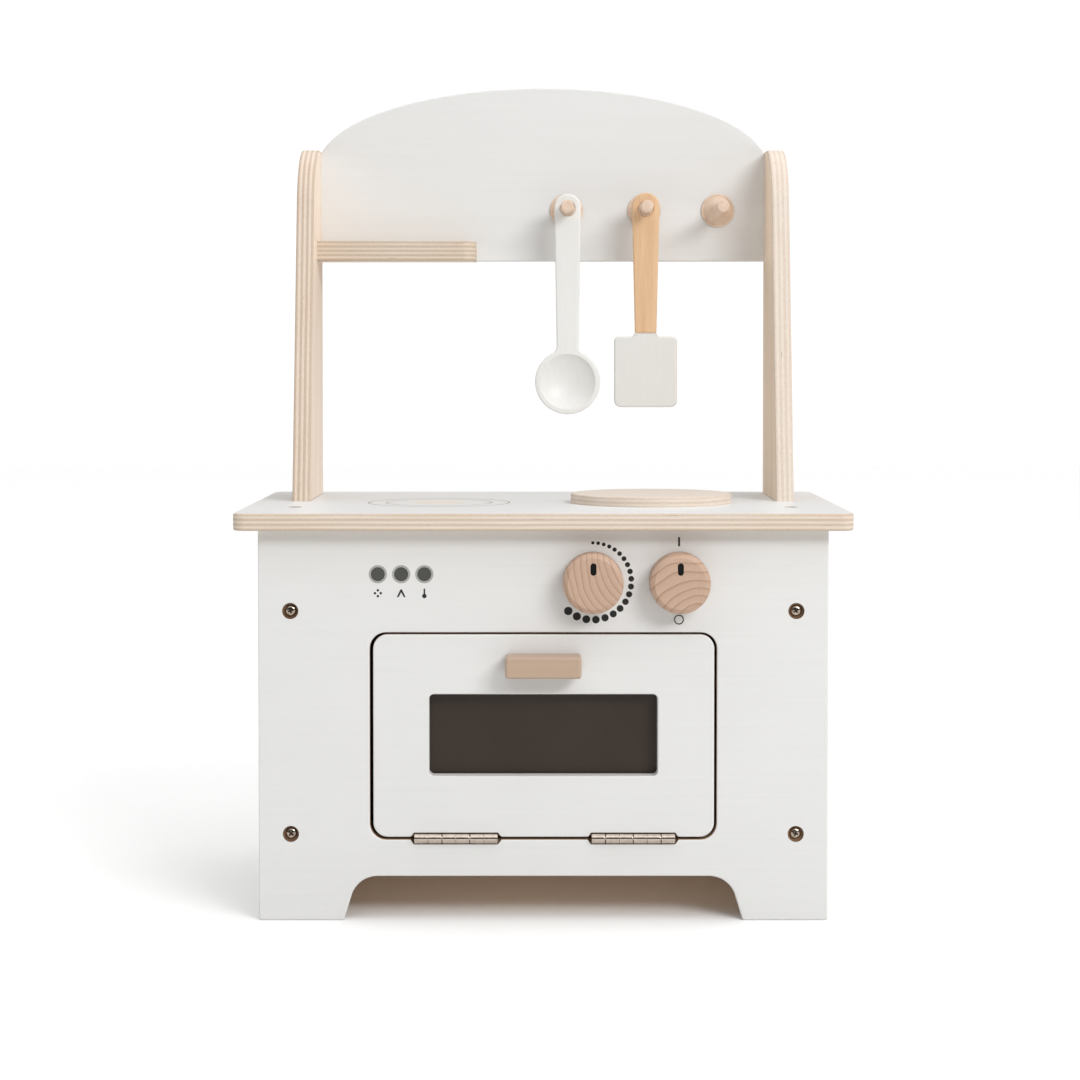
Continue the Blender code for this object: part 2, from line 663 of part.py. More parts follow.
def post_screws(posts, board_piece, shelf_piece):
    """A screw through each post holds the backboard, and one more holds the shelf."""
    board_y = POST_REAR - BOARD_T / 2
    shelf_y, shelf_z = (SHELF_FRONT + BOARD_FRONT) / 2, (SHELF_TOP + SHELF_BOTTOM) / 2
    places = (("left_backboard_screw", "left", board_y, BOARD_SCREW_ZS["left"], board_piece),
              ("right_backboard_screw", "right", board_y, BOARD_SCREW_ZS["right"],
               board_piece),
              ("shelf_screw", "left", shelf_y, shelf_z, shelf_piece))
    outside = POST_INNER + POST_T - SCREW_HEAD_T - FIT
    for name, side, y, z, target in places:
        seat = outside if side == "right" else -outside
        seated_screw(name, (seat, y, z), side, POST_SCREW_LENGTH, (posts[side], target),
                     POST_SCREW_HEAD_R + FIT, POST_SCREW_HEAD_R)


def peg(name, x, board_piece):
    """Turned peg: a wide foot that sweeps in to a straight shaft, with a tenon behind."""
    sweep = []
    for i in range(5):
        t = i / 4
        radius = PEG_R + (PEG_BASE_R - PEG_R) * t ** 1.5
        sweep.append((radius, PEG_CONE - (PEG_CONE - 0.0014) * t))
    tip = [(0, PEG_LENGTH), (PEG_R - 0.0007, PEG_LENGTH), (PEG_R, PEG_LENGTH - 0.0007)]
    foot = [(PEG_BASE_R, 0), (TENON_R, 0), (TENON_R, -TENON_LENGTH), (0, -TENON_LENGTH)]
    front = BOARD_FRONT - FIT
    turned(name, tip + sweep + foot, (x, front, PEG_Z), "forward", BEECH, steps=20)
    hole = rod(name + "_hole", TENON_R + FIT, -TENON_LENGTH - FIT, 0.002,
               (x, front, PEG_Z), "forward", steps=16)
    cut(hole, board_piece)


# ---------------------------------------------------------------- spoon and spatula
def handle_top(x, top, half):
    """The round end of a utensil's handle, from its left side over to its right."""
    return arc(x, top - half, half, math.pi, 0, 10)


def bowl_cap(name, rim_r, depth, place, lift=0.0):
    """A shallow dome as deep as depth, that is rim_r wide in the plane of the rim."""
    radius = (rim_r ** 2 + depth ** 2) / (2 * depth)
    spread = math.asin(rim_r / radius)
    steps = 5
    dome = []
    for i in range(steps + 1):
        a = spread * i / steps
        dome.append((radius * math.sin(a), radius * math.cos(a) - radius + depth))
    dome[-1] = (rim_r, 0)
    base = [(rim_r, -lift), (0, -lift)] if lift else [(0, 0)]
    return turned(name, dome + base, place, "back", steps=28)


def spoon():
    """Wooden spoon: a flat handle and a round bowl with a spherical hollow."""
    x = PEG_XS["left"] + 0.0005
    bowl_z = SPOON_BOTTOM + BOWL_R
    neck_rise = math.sqrt((BOWL_R + SPOON_NECK_R) ** 2
                          - (SPOON_NECK_HALF + SPOON_NECK_R) ** 2)
    lean = math.atan2(neck_rise, SPOON_NECK_HALF + SPOON_NECK_R)
    centre_u = SPOON_NECK_HALF + SPOON_NECK_R
    outline = handle_top(x, SPOON_TOP, SPOON_TOP_HALF)
    outline += arc(x + centre_u, bowl_z + neck_rise, SPOON_NECK_R, math.pi,
                   math.pi + lean, 4)
    outline += arc(x, bowl_z, BOWL_R, lean, -math.pi - lean, 26)[1:-1]
    outline += arc(x - centre_u, bowl_z + neck_rise, SPOON_NECK_R, -lean, 0, 4)
    hole = circle(x, PEG_Z - HANG_DROP, HANG_R, 20)
    deep = BOWL_DEPTH + 0.001
    piece = board("spoon", [outline, hole], deep, HANG_FRONT + deep / 2, "front",
                  UTENSIL_PAINT)
    low = (x - BOWL_R - PROUD, HANG_FRONT - 0.001, bowl_z + BOWL_R / 2)
    high = (x + BOWL_R + PROUD, HANG_FRONT + UTENSIL_T, SPOON_TOP + PROUD)
    envelope = block("spoon_envelope", low, high)
    back = bowl_cap("spoon_back", BOWL_R + 0.002, BOWL_DEPTH, (x, HANG_FRONT, bowl_z),
                    0.001)
    join(envelope, back)
    combine(piece, envelope, "INTERSECT")
    hollow = bowl_cap("spoon_hollow", BOWL_RIM_R, BOWL_HOLLOW, (x, HANG_FRONT, bowl_z),
                      0.001)
    cut(hollow, piece)
    return piece


def spatula():
    """Wooden handle with a tongue, glued into a painted blade."""
    x = PEG_XS["middle"]
    hole = circle(x, PEG_Z - HANG_DROP, HANG_R, 20)
    outline = handle_top(x, SPATULA_TOP, SPATULA_TOP_HALF)
    outline += [(x + SPATULA_NECK_HALF, SPATULA_NECK + FIT),
                (x - SPATULA_NECK_HALF, SPATULA_NECK + FIT)]
    handle = board("spatula_handle", [outline, hole], UTENSIL_T, HANG_FRONT + UTENSIL_T / 2,
                   "front", BEECH)
    soften(handle, 0.0008, 1)
    middle = HANG_FRONT + UTENSIL_T / 2
    half, thick = TONGUE_WIDTH / 2, TONGUE_T / 2
    tongue = block("spatula_tongue",
                   (x - half, middle - thick, SPATULA_NECK - TONGUE_LENGTH),
                   (x + half, middle + thick, SPATULA_NECK + TONGUE_ROOT))
    join(handle, tongue)
    inner, step = SPATULA_NECK_HALF + 0.0001, SPATULA_NECK_HALF + 0.0018
    blade_outline = rounded([
        (x - inner, SPATULA_NECK, 0.0003), (x - step, BLADE_SHOULDER, 0.0008),
        (x - BLADE_HALF, BLADE_SHOULDER, 0.0032), (x - BLADE_HALF, BLADE_BOTTOM, 0.0044),
        (x + BLADE_HALF, BLADE_BOTTOM, 0.0044), (x + BLADE_HALF, BLADE_SHOULDER, 0.0032),
        (x + step, BLADE_SHOULDER, 0.0008), (x + inner, SPATULA_NECK, 0.0003)], 4)
    blade = board("spatula_blade", [blade_outline], BLADE_T, middle, "front",
                  UTENSIL_PAINT)
    soften(blade, 0.0009, 1)
    slot = block("spatula_slot",
                 (x - half - FIT, middle - thick - FIT, SPATULA_NECK - TONGUE_LENGTH - FIT),
                 (x + half + FIT, middle + thick + FIT, SPATULA_NECK + TONGUE_ROOT))
    cut(slot, blade)


def hob_disc():
    low = WORKTOP_TOP + FIT
    return board("hob_disc", [circle(HOB_X, HOB_Y, HOB_R, 48)], HOB_T, low + HOB_T / 2, "up",
                 PLYWOOD)


# ---------------------------------------------------------------- assembly
def build():
    panel = front_panel()
    sides = {"left": side_panel("left", -1), "right": side_panel("right", 1)}
    back_panel()
    oven_floor()
    top = worktop()
    cabinet_screws(panel, sides)
    worktop_screws(top, sides)
    door = oven_door()
    window_pane()
    door_handle(door)
    for side in HINGE_CENTRES:
        hinge(side, panel, door)
    door_catch(door)
    for side in KNOB_XS:
        knob(side, panel)
    posts = {"left": post("left", -1), "right": post("right", 1)}
    for side, sign in (("left", -1), ("right", 1)):
        post_dowels(side, sign, posts[side], top, sides[side])
    board_piece = backboard()
    shelf_piece = shelf()
    post_screws(posts, board_piece, shelf_piece)
    for where, x in PEG_XS.items():
        peg(where + "_peg", x, board_piece)
    spoon()
    spatula()
    hob_disc()


build()
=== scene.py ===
# %% [markdown]
# # A wooden toy kitchen
# The toy is a box of painted boards with a plywood worktop. Two plywood posts carry an
# arched backboard with a shelf and three pegs, and a spoon and a spatula hang from the pegs.
# The solids of the frame already have the right sizes, and they hold the joints. This script
# gives them their looks: eased edges, turned and moulded shapes, printed signs, paint, wood
# and metal. Every measure comes from the frame's boxes, in metres, with +Z up.

# %% Load the frame
import math

import bmesh
import bpy
from mathutils import Matrix, Vector


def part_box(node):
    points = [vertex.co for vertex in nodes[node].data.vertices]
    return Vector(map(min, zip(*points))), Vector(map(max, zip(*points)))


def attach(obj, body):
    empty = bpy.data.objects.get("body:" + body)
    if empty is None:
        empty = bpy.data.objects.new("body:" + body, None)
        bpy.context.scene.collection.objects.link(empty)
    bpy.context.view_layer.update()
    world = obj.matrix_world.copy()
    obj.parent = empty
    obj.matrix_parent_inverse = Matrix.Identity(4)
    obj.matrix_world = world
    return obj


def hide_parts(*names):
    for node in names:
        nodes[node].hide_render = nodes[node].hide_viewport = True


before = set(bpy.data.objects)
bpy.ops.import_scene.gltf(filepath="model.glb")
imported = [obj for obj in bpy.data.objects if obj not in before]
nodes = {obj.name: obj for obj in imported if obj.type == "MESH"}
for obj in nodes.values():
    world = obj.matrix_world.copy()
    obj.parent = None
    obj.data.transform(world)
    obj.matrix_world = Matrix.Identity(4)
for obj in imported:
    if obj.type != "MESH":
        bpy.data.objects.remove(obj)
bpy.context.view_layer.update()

# %% [markdown]
# ## Where it stands
# A toy like this is shown on white paper under soft light, seen from a little above its
# worktop. A long lens keeps the upright edges straight. The lens is shifted down a little
# instead of tilting the camera more, which would make the sides lean. The Standard view
# transform keeps white paint and white paper as light as they are.

# %% Camera
LENS_MM, FILM_MM = 79.4, 36
LENS_SHIFT = -0.1026
CAMERA_AT = (-0.0020, -1.5381, 0.3408)
CAMERA_TILT = 1.70
camera_data = bpy.data.cameras.new("camera")
camera_data.lens = LENS_MM
camera_data.sensor_width = FILM_MM
camera_data.shift_y = LENS_SHIFT
camera = bpy.data.objects.new("camera", camera_data)
camera.location = CAMERA_AT
camera.rotation_euler = (math.radians(90 - CAMERA_TILT), 0, 0)
bpy.context.scene.collection.objects.link(camera)
bpy.context.scene.camera = camera
bpy.context.scene.view_settings.view_transform = "Standard"

# %% [markdown]
# ## Small tools for finishes
# Each finish is a material made of nodes. A helper that adds one node and fills its sockets
# keeps each recipe short enough to read. The pattern is placed by the object's own
# coordinates, so grain stays the same size on a wide board and on a small peg, and it moves
# with the piece when a joint moves. The numbers in a recipe are frequencies per metre and
# the two ends of a range, so they stay beside the noise that they shape.

# %% One node in one line
def colour(red, green, blue):
    """A screen colour from 0 to 255 as the linear colour that a shader takes."""
    def linear(part):
        part /= 255
        return part / 12.92 if part <= 0.04045 else ((part + 0.055) / 1.055) ** 2.4
    return (linear(red), linear(green), linear(blue), 1.0)


def add(tree, kind, inputs, **settings):
    """Add a shader node, set its settings, and link or fill its inputs."""
    made = tree.nodes.new("ShaderNode" + kind)
    for name, value in settings.items():
        setattr(made, name, value)
    for socket, value in inputs.items():
        if isinstance(value, bpy.types.NodeSocket):
            tree.links.new(value, made.inputs[socket])
        else:
            made.inputs[socket].default_value = value
    return made


def new_finish(name, **sockets):
    """A material, its node tree and its shader, with the constant sockets set."""
    finish = bpy.data.materials.new(name)
    finish.use_nodes = True
    shader = finish.node_tree.nodes["Principled BSDF"]
    for socket, value in sockets.items():
        shader.inputs[socket.replace("_", " ")].default_value = value
    return finish, finish.node_tree, shader


print("middle grey is", round(colour(128, 128, 128)[0], 3), "in linear light")

# %% Patterns
AXES = {"X": 0, "Y": 1, "Z": 2}


def grain_space(tree, along=None, slow=1.0, fast=1.0):
    """The piece's own coordinates, stretched so that a pattern runs along one axis."""
    scale = [fast, fast, fast]
    if along:
        scale[AXES[along]] = slow
    where = add(tree, "TexCoord", {}).outputs["Object"]
    return add(tree, "Mapping", {"Vector": where, "Scale": scale}).outputs["Vector"]


def noise(tree, vector, detail=3.0, scale=1.0):
    made = add(tree, "TexNoise", {"Vector": vector, "Scale": scale, "Detail": detail})
    return made.outputs[0]


def ramp(tree, value, *stops):
    """Colours at places from 0 to 1."""
    made = add(tree, "ValToRGB", {"Fac": value})
    while len(made.color_ramp.elements) < len(stops):
        made.color_ramp.elements.new(1.0)
    for element, (place, shade) in zip(made.color_ramp.elements, stops):
        element.position = place
        element.color = shade
    return made.outputs["Color"]


def spread(tree, value, low, high, to_low=0.0, to_high=1.0):
    """Map a value from one range to another, and keep it inside."""
    made = add(tree, "MapRange", {"Value": value, "From Min": low, "From Max": high,
                                  "To Min": to_low, "To Max": to_high})
    return made.outputs["Result"]


def mix(tree, share, first, second, way="MIX"):
    made = add(tree, "Mix", {0: share, 6: first, 7: second}, data_type="RGBA",
               blend_type=way)
    return made.outputs[2]


def maths(tree, operation, first, second=0.0):
    return add(tree, "Math", {0: first, 1: second}, operation=operation).outputs[0]


def relief(tree, shader, height, depth, strength):
    """Let a pattern stand up from the surface by a real depth."""
    made = add(tree, "Bump", {"Height": height, "Distance": depth, "Strength": strength})
    tree.links.new(made.outputs["Normal"], shader.inputs["Normal"])


def dress(tree, shader, tone, gloss):
    """Give the shader its colour pattern and its gloss pattern."""
    tree.links.new(tone, shader.inputs["Base Color"])
    tree.links.new(gloss, shader.inputs["Roughness"])


print("patterns ready")

# %% [markdown]
# ## Satin paint
# The white boards are sanded, primed and sprayed with a satin, water-based paint. Close up
# it isn't one flat white: the spray leaves a fine stipple, and the board's grain shows
# through as faint long streaks. A noise stretched along the grain gives the streaks, and a
# very fine one gives the stipple, both in height as well as in colour.

# %% Paint
def paint(name, shade, along="X", roughness=0.46, streak=0.12):
    finish, tree, shader = new_finish(name)
    streaks = noise(tree, grain_space(tree, along, 9, 420), 4)
    stipple = noise(tree, grain_space(tree), 2, 1900)
    mottle = noise(tree, grain_space(tree), 3, 26)
    pale = tuple(min(1.0, 1.006 * part) for part in shade[:3]) + (1.0,)
    deep = tuple(0.992 * part for part in shade[:3]) + (1.0,)
    tone = ramp(tree, mottle, (0.30, deep), (0.70, pale))
    lines = ramp(tree, streaks, (0.30, colour(238, 237, 235)), (0.62, colour(255, 255, 255)))
    tone = mix(tree, streak, tone, lines, "MULTIPLY")
    dress(tree, shader, tone,
          spread(tree, stipple, 0.3, 0.7, roughness - 0.05, roughness + 0.07))
    height = maths(tree, "ADD", maths(tree, "MULTIPLY", streaks, 0.3), stipple)
    relief(tree, shader, height, 0.00003, 0.25)
    return finish


WHITE = paint("white_paint", colour(226, 226, 225))
TAN = paint("tan_paint", colour(186, 161, 140), "X", 0.40, 0.3)
UTENSIL_WHITE = paint("utensil_paint", colour(230, 230, 227), "Z", 0.38, 0.15)
BLADE_WHITE = paint("blade_paint", colour(223, 222, 218), "Z", 0.40, 0.15)
print("paints:", WHITE.name, TAN.name, UTENSIL_WHITE.name, BLADE_WHITE.name)

# %% [markdown]
# ## Plywood
# A sawn plywood edge shows its plies: veneers that run along the edge are pale and smooth, and
# those that run across it show their end grain, darker and speckled, with a thin brown glue line
# between. The bands are worked out from how far a point lies through the board's thickness, so
# that they run round a rounded corner as the real ones do. The faces are one clean sheet of
# birch veneer, with long fibres and a few short flecks. A bare saw cut shows the same wood, but
# darker. The walls of a screw recess or a hinge notch are painted darker still, a deep brown:
# painted shade, for the shade that fills such a narrow hollow.

# %% Plywood edge and birch face
PLY_LIGHT = colour(230, 216, 201)
PLY_DARK = colour(208, 191, 174)
PLY_GLUE = colour(200, 176, 150)


def darker(shade, share):
    return tuple(share * part for part in shade[:3]) + (1.0,)


def ply_edge(name, through, low, high, plies, along, light=PLY_LIGHT, dark=PLY_DARK):
    finish, tree, shader = new_finish(name)
    where = add(tree, "TexCoord", {}).outputs["Object"]
    level = add(tree, "SeparateXYZ", {0: where}).outputs[AXES[through]]
    wave = noise(tree, grain_space(tree, along, 14, 60), 2)
    level = maths(tree, "ADD", level, spread(tree, wave, 0.2, 0.8, -0.00022, 0.00022))
    turns = maths(tree, "MULTIPLY", maths(tree, "SUBTRACT", level, low), plies / (high - low))
    crosswise = maths(tree, "MODULO", maths(tree, "FLOOR", turns), 2.0)
    inside = maths(tree, "ABSOLUTE", maths(tree, "SUBTRACT",
                                           maths(tree, "FRACT", turns), 0.5))
    fibres = noise(tree, grain_space(tree, along, 22, 1500), 4)
    pores = noise(tree, grain_space(tree, along, 700, 2300), 2)
    cloud = noise(tree, grain_space(tree, along, 12, 90), 3)
    pale = ramp(tree, fibres, (0.30, darker(light, 0.90)), (0.65, light))
    ends = ramp(tree, pores, (0.32, darker(dark, 0.88)), (0.68, darker(dark, 1.06)))
    tone = mix(tree, crosswise, ends, pale)
    tone = mix(tree, spread(tree, cloud, 0.35, 0.75, 0.0, 0.25), tone, colour(236, 218, 198),
               "MULTIPLY")
    glue = maths(tree, "MULTIPLY", spread(tree, inside, 0.40, 0.5),
                 spread(tree, cloud, 0.3, 0.7, 0.10, 0.48))
    tone = mix(tree, glue, tone, PLY_GLUE)
    gap = noise(tree, grain_space(tree, along, 45, 900), 1)
    tone = mix(tree, spread(tree, gap, 0.76, 0.80, 0.0, 0.75), tone, colour(160, 118, 80))
    dress(tree, shader, tone, spread(tree, pores, 0.3, 0.7, 0.50, 0.66))
    height = maths(tree, "SUBTRACT", maths(tree, "ADD", fibres, pores), glue)
    relief(tree, shader, height, 0.00006, 0.45)
    return finish


def birch_face(name, along, tint, deep):
    finish, tree, shader = new_finish(name)
    figure = noise(tree, grain_space(tree, along, 5, 75), 3)
    fibres = noise(tree, grain_space(tree, along, 26, 1300), 5)
    flecks = noise(tree, grain_space(tree, along, 120, 1700), 1)
    tone = ramp(tree, figure, (0.25, deep), (0.62, tint))
    tone = mix(tree, 0.45, tone,
               ramp(tree, fibres, (0.30, colour(238, 226, 212)), (0.65, colour(255, 253, 250))),
               "MULTIPLY")
    tone = mix(tree, spread(tree, flecks, 0.70, 0.76, 0.0, 0.30), tone, colour(190, 156, 120))
    dress(tree, shader, tone, spread(tree, fibres, 0.3, 0.7, 0.46, 0.60))
    relief(tree, shader, fibres, 0.00005, 0.35)
    return finish


print("plies range from", [round(part, 2) for part in PLY_DARK[:3]], "to",
      [round(part, 2) for part in PLY_LIGHT[:3]])

# %% [markdown]
# ## Beech
# Beech is pinker than birch. A knob is cut across the tree, so that its face shows growth
# rings as arcs: each ring darkens slowly and ends in a thin line. The rings are circles
# about the tree's heart, a point outside the knob, bent a little by noise. Pegs and the
# spatula's handle are cut along the tree, and show only long fibres and short dark pores.

# %% Beech, across and along the tree
def beech_rings(name, heart, spacing):
    finish, tree, shader = new_finish(name)
    where = add(tree, "TexCoord", {}).outputs["Object"]
    bend = noise(tree, grain_space(tree), 1, 40)
    moved = add(tree, "Mapping", {"Vector": where, "Location": (-heart[0], 0, -heart[1]),
                                  "Scale": (1, 0, 1)}).outputs["Vector"]
    reach = add(tree, "VectorMath", {0: moved}, operation="LENGTH").outputs["Value"]
    reach = maths(tree, "ADD", reach, spread(tree, bend, 0.2, 0.8, -0.0005, 0.0005))
    widths = noise(tree, grain_space(tree), 1, 30)
    turns = maths(tree, "ADD", maths(tree, "DIVIDE", reach, spacing),
                  spread(tree, widths, 0.3, 0.7, -0.5, 0.5))
    ring = maths(tree, "FRACT", turns)
    fine = noise(tree, grain_space(tree, "Y", 60, 1500), 3)
    pores = noise(tree, grain_space(tree), 2, 900)
    tone = ramp(tree, ring, (0.0, colour(198, 169, 149)), (0.66, colour(194, 164, 143)),
                (0.88, colour(184, 152, 129)), (0.95, colour(158, 122, 97)),
                (1.0, colour(196, 167, 146)))
    tone = mix(tree, 0.32, tone,
               ramp(tree, fine, (0.30, colour(214, 198, 184)), (0.66, colour(255, 253, 250))),
               "MULTIPLY")
    tone = mix(tree, spread(tree, pores, 0.62, 0.70, 0.0, 0.22), tone, colour(170, 128, 100))
    dress(tree, shader, tone, spread(tree, fine, 0.3, 0.7, 0.46, 0.60))
    relief(tree, shader, maths(tree, "ADD", fine, ring), 0.00005, 0.3)
    return finish


def beech_long(name, along, pale, deep):
    finish, tree, shader = new_finish(name)
    figure = noise(tree, grain_space(tree, along, 9, 210), 3)
    fibres = noise(tree, grain_space(tree, along, 40, 1700), 4)
    pores = noise(tree, grain_space(tree, along, 260, 2600), 1)
    tone = ramp(tree, figure, (0.28, deep), (0.64, pale))
    tone = mix(tree, 0.4, tone,
               ramp(tree, fibres, (0.30, colour(234, 220, 206)), (0.66, colour(255, 253, 250))),
               "MULTIPLY")
    tone = mix(tree, spread(tree, pores, 0.66, 0.72, 0.0, 0.25), tone, colour(176, 134, 98))
    dress(tree, shader, tone, spread(tree, fibres, 0.3, 0.7, 0.45, 0.60))
    relief(tree, shader, fibres, 0.00005, 0.35)
    return finish


PEG_BEECH = beech_long("peg_beech", "Y", colour(229, 207, 188), colour(216, 191, 170))
HANDLE_BEECH = beech_long("handle_beech", "Z", colour(226, 191, 153), colour(217, 179, 139))
RAW_WOOD = birch_face("raw_wood", "X", colour(214, 188, 158), colour(188, 158, 126))
# Birch painted far darker for the walls of recesses and notches: painted shade, for the shade
# inside them.
RECESS_SHADE_WOOD = birch_face("recess_wood_painted_shade", "X", colour(156, 126, 98), colour(122, 94, 70))
print("woods:", PEG_BEECH.name, HANDLE_BEECH.name, RAW_WOOD.name, RECESS_SHADE_WOOD.name)

# %% [markdown]
# ## Metal, smoked sheet and ink
# The hinges are nickel-plated steel, drawn along the barrel, so fine scratches run that way.
# The screws are bronzed steel, bright on the dome. The driver's socket is painted nearly black,
# as painted shade in the cross recess. The window is a smoked sheet with a soft gloss. It is
# drawn opaque, so its dark brown is its tint together with painted shade of the closed oven
# behind it. The signs are screen-printed ink, thin and dull: a fine noise lets the paint show
# through where the screen left little ink.

# %% Metal, sheet and ink
def metal(name, bright, dull, along, roughness):
    finish, tree, shader = new_finish(name, Metallic=1.0)
    scratches = noise(tree, grain_space(tree, along, 60, 4200), 3)
    patches = noise(tree, grain_space(tree), 3, 420)
    tone = ramp(tree, patches, (0.32, dull), (0.66, bright))
    tone = mix(tree, 0.25, tone,
               ramp(tree, scratches, (0.3, colour(190, 186, 182)), (0.7, colour(255, 255, 255))),
               "MULTIPLY")
    dress(tree, shader, tone,
          spread(tree, scratches, 0.3, 0.7, roughness - 0.06, roughness + 0.08))
    relief(tree, shader, scratches, 0.00002, 0.12)
    return finish


# An opaque sheet whose dark brown is its smoky tint together with painted shade: the dark inside
# of the closed oven that would show through it.
def smoked_sheet_and_shade(name):
    finish, tree, shader = new_finish(name, Specular_IOR_Level=0.35)
    haze = noise(tree, grain_space(tree), 3, 30)
    dust = noise(tree, grain_space(tree), 2, 1500)
    tone = ramp(tree, haze, (0.3, colour(50, 39, 31)), (0.7, colour(54, 43, 35)))
    dress(tree, shader, tone, spread(tree, dust, 0.4, 0.75, 0.30, 0.42))
    relief(tree, shader, dust, 0.00001, 0.2)
    return finish


def ink(name, shade, thin):
    finish, tree, shader = new_finish(name, Specular_IOR_Level=0.2)
    screen = noise(tree, grain_space(tree), 2, 2600)
    tone = ramp(tree, screen, (0.30, thin), (0.55, shade))
    dress(tree, shader, tone, spread(tree, screen, 0.3, 0.7, 0.50, 0.64))
    relief(tree, shader, screen, 0.00001, 0.3)
    return finish


NICKEL = metal("nickel_plate", colour(222, 210, 198), colour(204, 191, 178), "X", 0.10)
BRONZED = metal("bronzed_plate", colour(206, 194, 180), colour(158, 142, 126), "Z", 0.16)
# Nearly black steel for the faces of the cross recess: painted shade, as the recess is the same
# steel as the head.
SOCKET_SHADE = metal("driver_socket_painted_shade", colour(66, 56, 48), colour(44, 37, 32), "Z", 0.35)
# The window's dark brown is partly painted shade of the oven behind it.
SMOKED_SHEET_AND_SHADE = smoked_sheet_and_shade("smoked_sheet_and_shade")
BLACK_INK = ink("black_ink", colour(36, 36, 35), colour(54, 54, 52))
GREY_INK = ink("grey_ink", colour(76, 76, 74), colour(86, 86, 84))
RING_INK = ink("ring_ink", colour(164, 164, 162), colour(178, 178, 176))
BEIGE_INK = ink("beige_ink", colour(150, 137, 120), colour(166, 153, 136))
CREAM_INK = ink("cream_ink", colour(222, 214, 204), colour(226, 219, 210))
BLACK_PLASTIC = ink("black_plastic", colour(6, 6, 6), colour(12, 12, 12))
FERRITE = metal("ferrite", colour(70, 70, 72), colour(50, 50, 52), "Y", 0.55)
print("metals and inks ready")

# %% [markdown]
# ## Small tools for shapes
# Nearly every piece here is either a flat board or something turned on a lathe. A board
# starts as an outline. Moving the outline inwards in small steps, while rising, gives the
# eased edge that sanding leaves, and the last outline is filled as the face. That is cleaner
# than a Bevel on a filled curve, whose long triangles would pinch. A turned piece is a
# profile of radius and height, swept round an axis.

# %% Outlines
def arc(u, v, radius, start, end, steps):
    """Points along an arc about (u, v), from one angle to another, in degrees."""
    turns = [math.radians(start + (end - start) * i / steps) for i in range(steps + 1)]
    return [(u + radius * math.cos(a), v + radius * math.sin(a)) for a in turns]


def circle(u, v, radius, steps=64):
    return arc(u, v, radius, 0, 360, steps)[:-1]


def rounded(*corners, steps=10):
    """An outline from corners (u, v, radius), each one turned into an arc."""
    points = []
    for i, (u, v, radius) in enumerate(corners):
        corner = Vector((u, v))
        if radius == 0:
            points.append((u, v))
            continue
        before = (Vector(corners[i - 1][:2]) - corner).normalized()
        after = (Vector(corners[(i + 1) % len(corners)][:2]) - corner).normalized()
        half = before.angle(after) / 2
        centre = corner + (before + after).normalized() * radius / math.sin(half)
        start = corner + before * radius / math.tan(half) - centre
        end = corner + after * radius / math.tan(half) - centre
        first = math.degrees(math.atan2(start.y, start.x))
        turn = (math.degrees(math.atan2(end.y, end.x)) - first + 180) % 360 - 180
        points += arc(centre.x, centre.y, radius, first, first + turn, steps)
    return points


def rectangle(left, right, low, high, radius=0.0, steps=10):
    return rounded((left, low, radius), (right, low, radius),
                   (right, high, radius), (left, high, radius), steps=steps)


def moved_in(loop, inset):
    """The outline moved to the left of its travel, with its corners mitred."""
    points = []
    for i, point in enumerate(loop):
        here = Vector(point)
        before = (here - Vector(loop[i - 1])).normalized()
        after = (Vector(loop[(i + 1) % len(loop)]) - here).normalized()
        travel = (before + after).normalized()
        sideways = Vector((-travel.y, travel.x))
        points.append(here + sideways * inset / max(0.3, travel.dot(after)))
    return points


print("a rounded rectangle has", len(rectangle(0, 0.1, 0, 0.05, 0.01)), "points")

# %% Boards and turned pieces
FACING = {"up": Matrix.Identity(4), "front": Matrix.Rotation(math.pi / 2, 4, "X"),
          "side": Matrix(((0, 0, 1, 0), (1, 0, 0, 0), (0, 1, 0, 0), (0, 0, 0, 1)))}
POINTING = {"up": Matrix.Identity(4), "forward": Matrix.Rotation(math.pi / 2, 4, "X"),
            "back": Matrix.Rotation(-math.pi / 2, 4, "X"),
            "right": Matrix.Rotation(math.pi / 2, 4, "Y"),
            "left": Matrix.Rotation(-math.pi / 2, 4, "Y")}


def as_mesh(work, name, matrix, finishes):
    bmesh.ops.recalc_face_normals(work, faces=work.faces)
    mesh = bpy.data.meshes.new(name)
    work.to_mesh(mesh)
    work.free()
    mesh.transform(matrix)
    for finish in finishes:
        mesh.materials.append(finish)
    return mesh


def slab(loops, low, high, ease, facing, finishes, steps=4, walls=()):
    """A board between two levels. Outlines run anticlockwise, and holes clockwise.

    finishes holds one finish, or three: for the lower face, the edge and the upper face.
    walls may hold a finish for the upright wall of each outline, between its eased rims.
    """
    turns = [math.pi / 2 * i / steps for i in range(steps + 1)] if ease else [math.pi / 2]
    rows = [(ease * (1 - math.sin(a)), low + ease * (1 - math.cos(a))) for a in turns]
    rows += [(inset, low + high - level) for inset, level in reversed(rows)]
    coats = list(dict.fromkeys([*finishes, *walls]))
    lower, edge, upper = [coats.index(finish) for finish in
                          (finishes if len(finishes) == 3 else 3 * finishes)]
    wall_coats = [coats.index(finish) for finish in walls] or [edge] * len(loops)
    work = bmesh.new()
    ends = {"low": [], "high": []}
    for loop, wall in zip(loops, wall_coats):
        rings = [[work.verts.new((p.x, p.y, level)) for p in moved_in(loop, inset)]
                 for inset, level in rows]
        for row, (below, above) in enumerate(zip(rings, rings[1:])):
            for i in range(len(loop)):
                j = (i + 1) % len(loop)
                face = work.faces.new((below[i], below[j], above[j], above[i]))
                face.material_index = wall if row == len(turns) - 1 else edge
        for end, ring in (("low", rings[0]), ("high", rings[-1])):
            ends[end] += [work.edges.get((ring[i - 1], ring[i])) for i in range(len(ring))]
    for end, edges in ends.items():
        filled = bmesh.ops.triangle_fill(work, use_beauty=True, edges=edges)
        for item in filled["geom"]:
            if isinstance(item, bmesh.types.BMFace):
                item.material_index = lower if end == "low" else upper
    return as_mesh(work, "board", FACING[facing], coats)


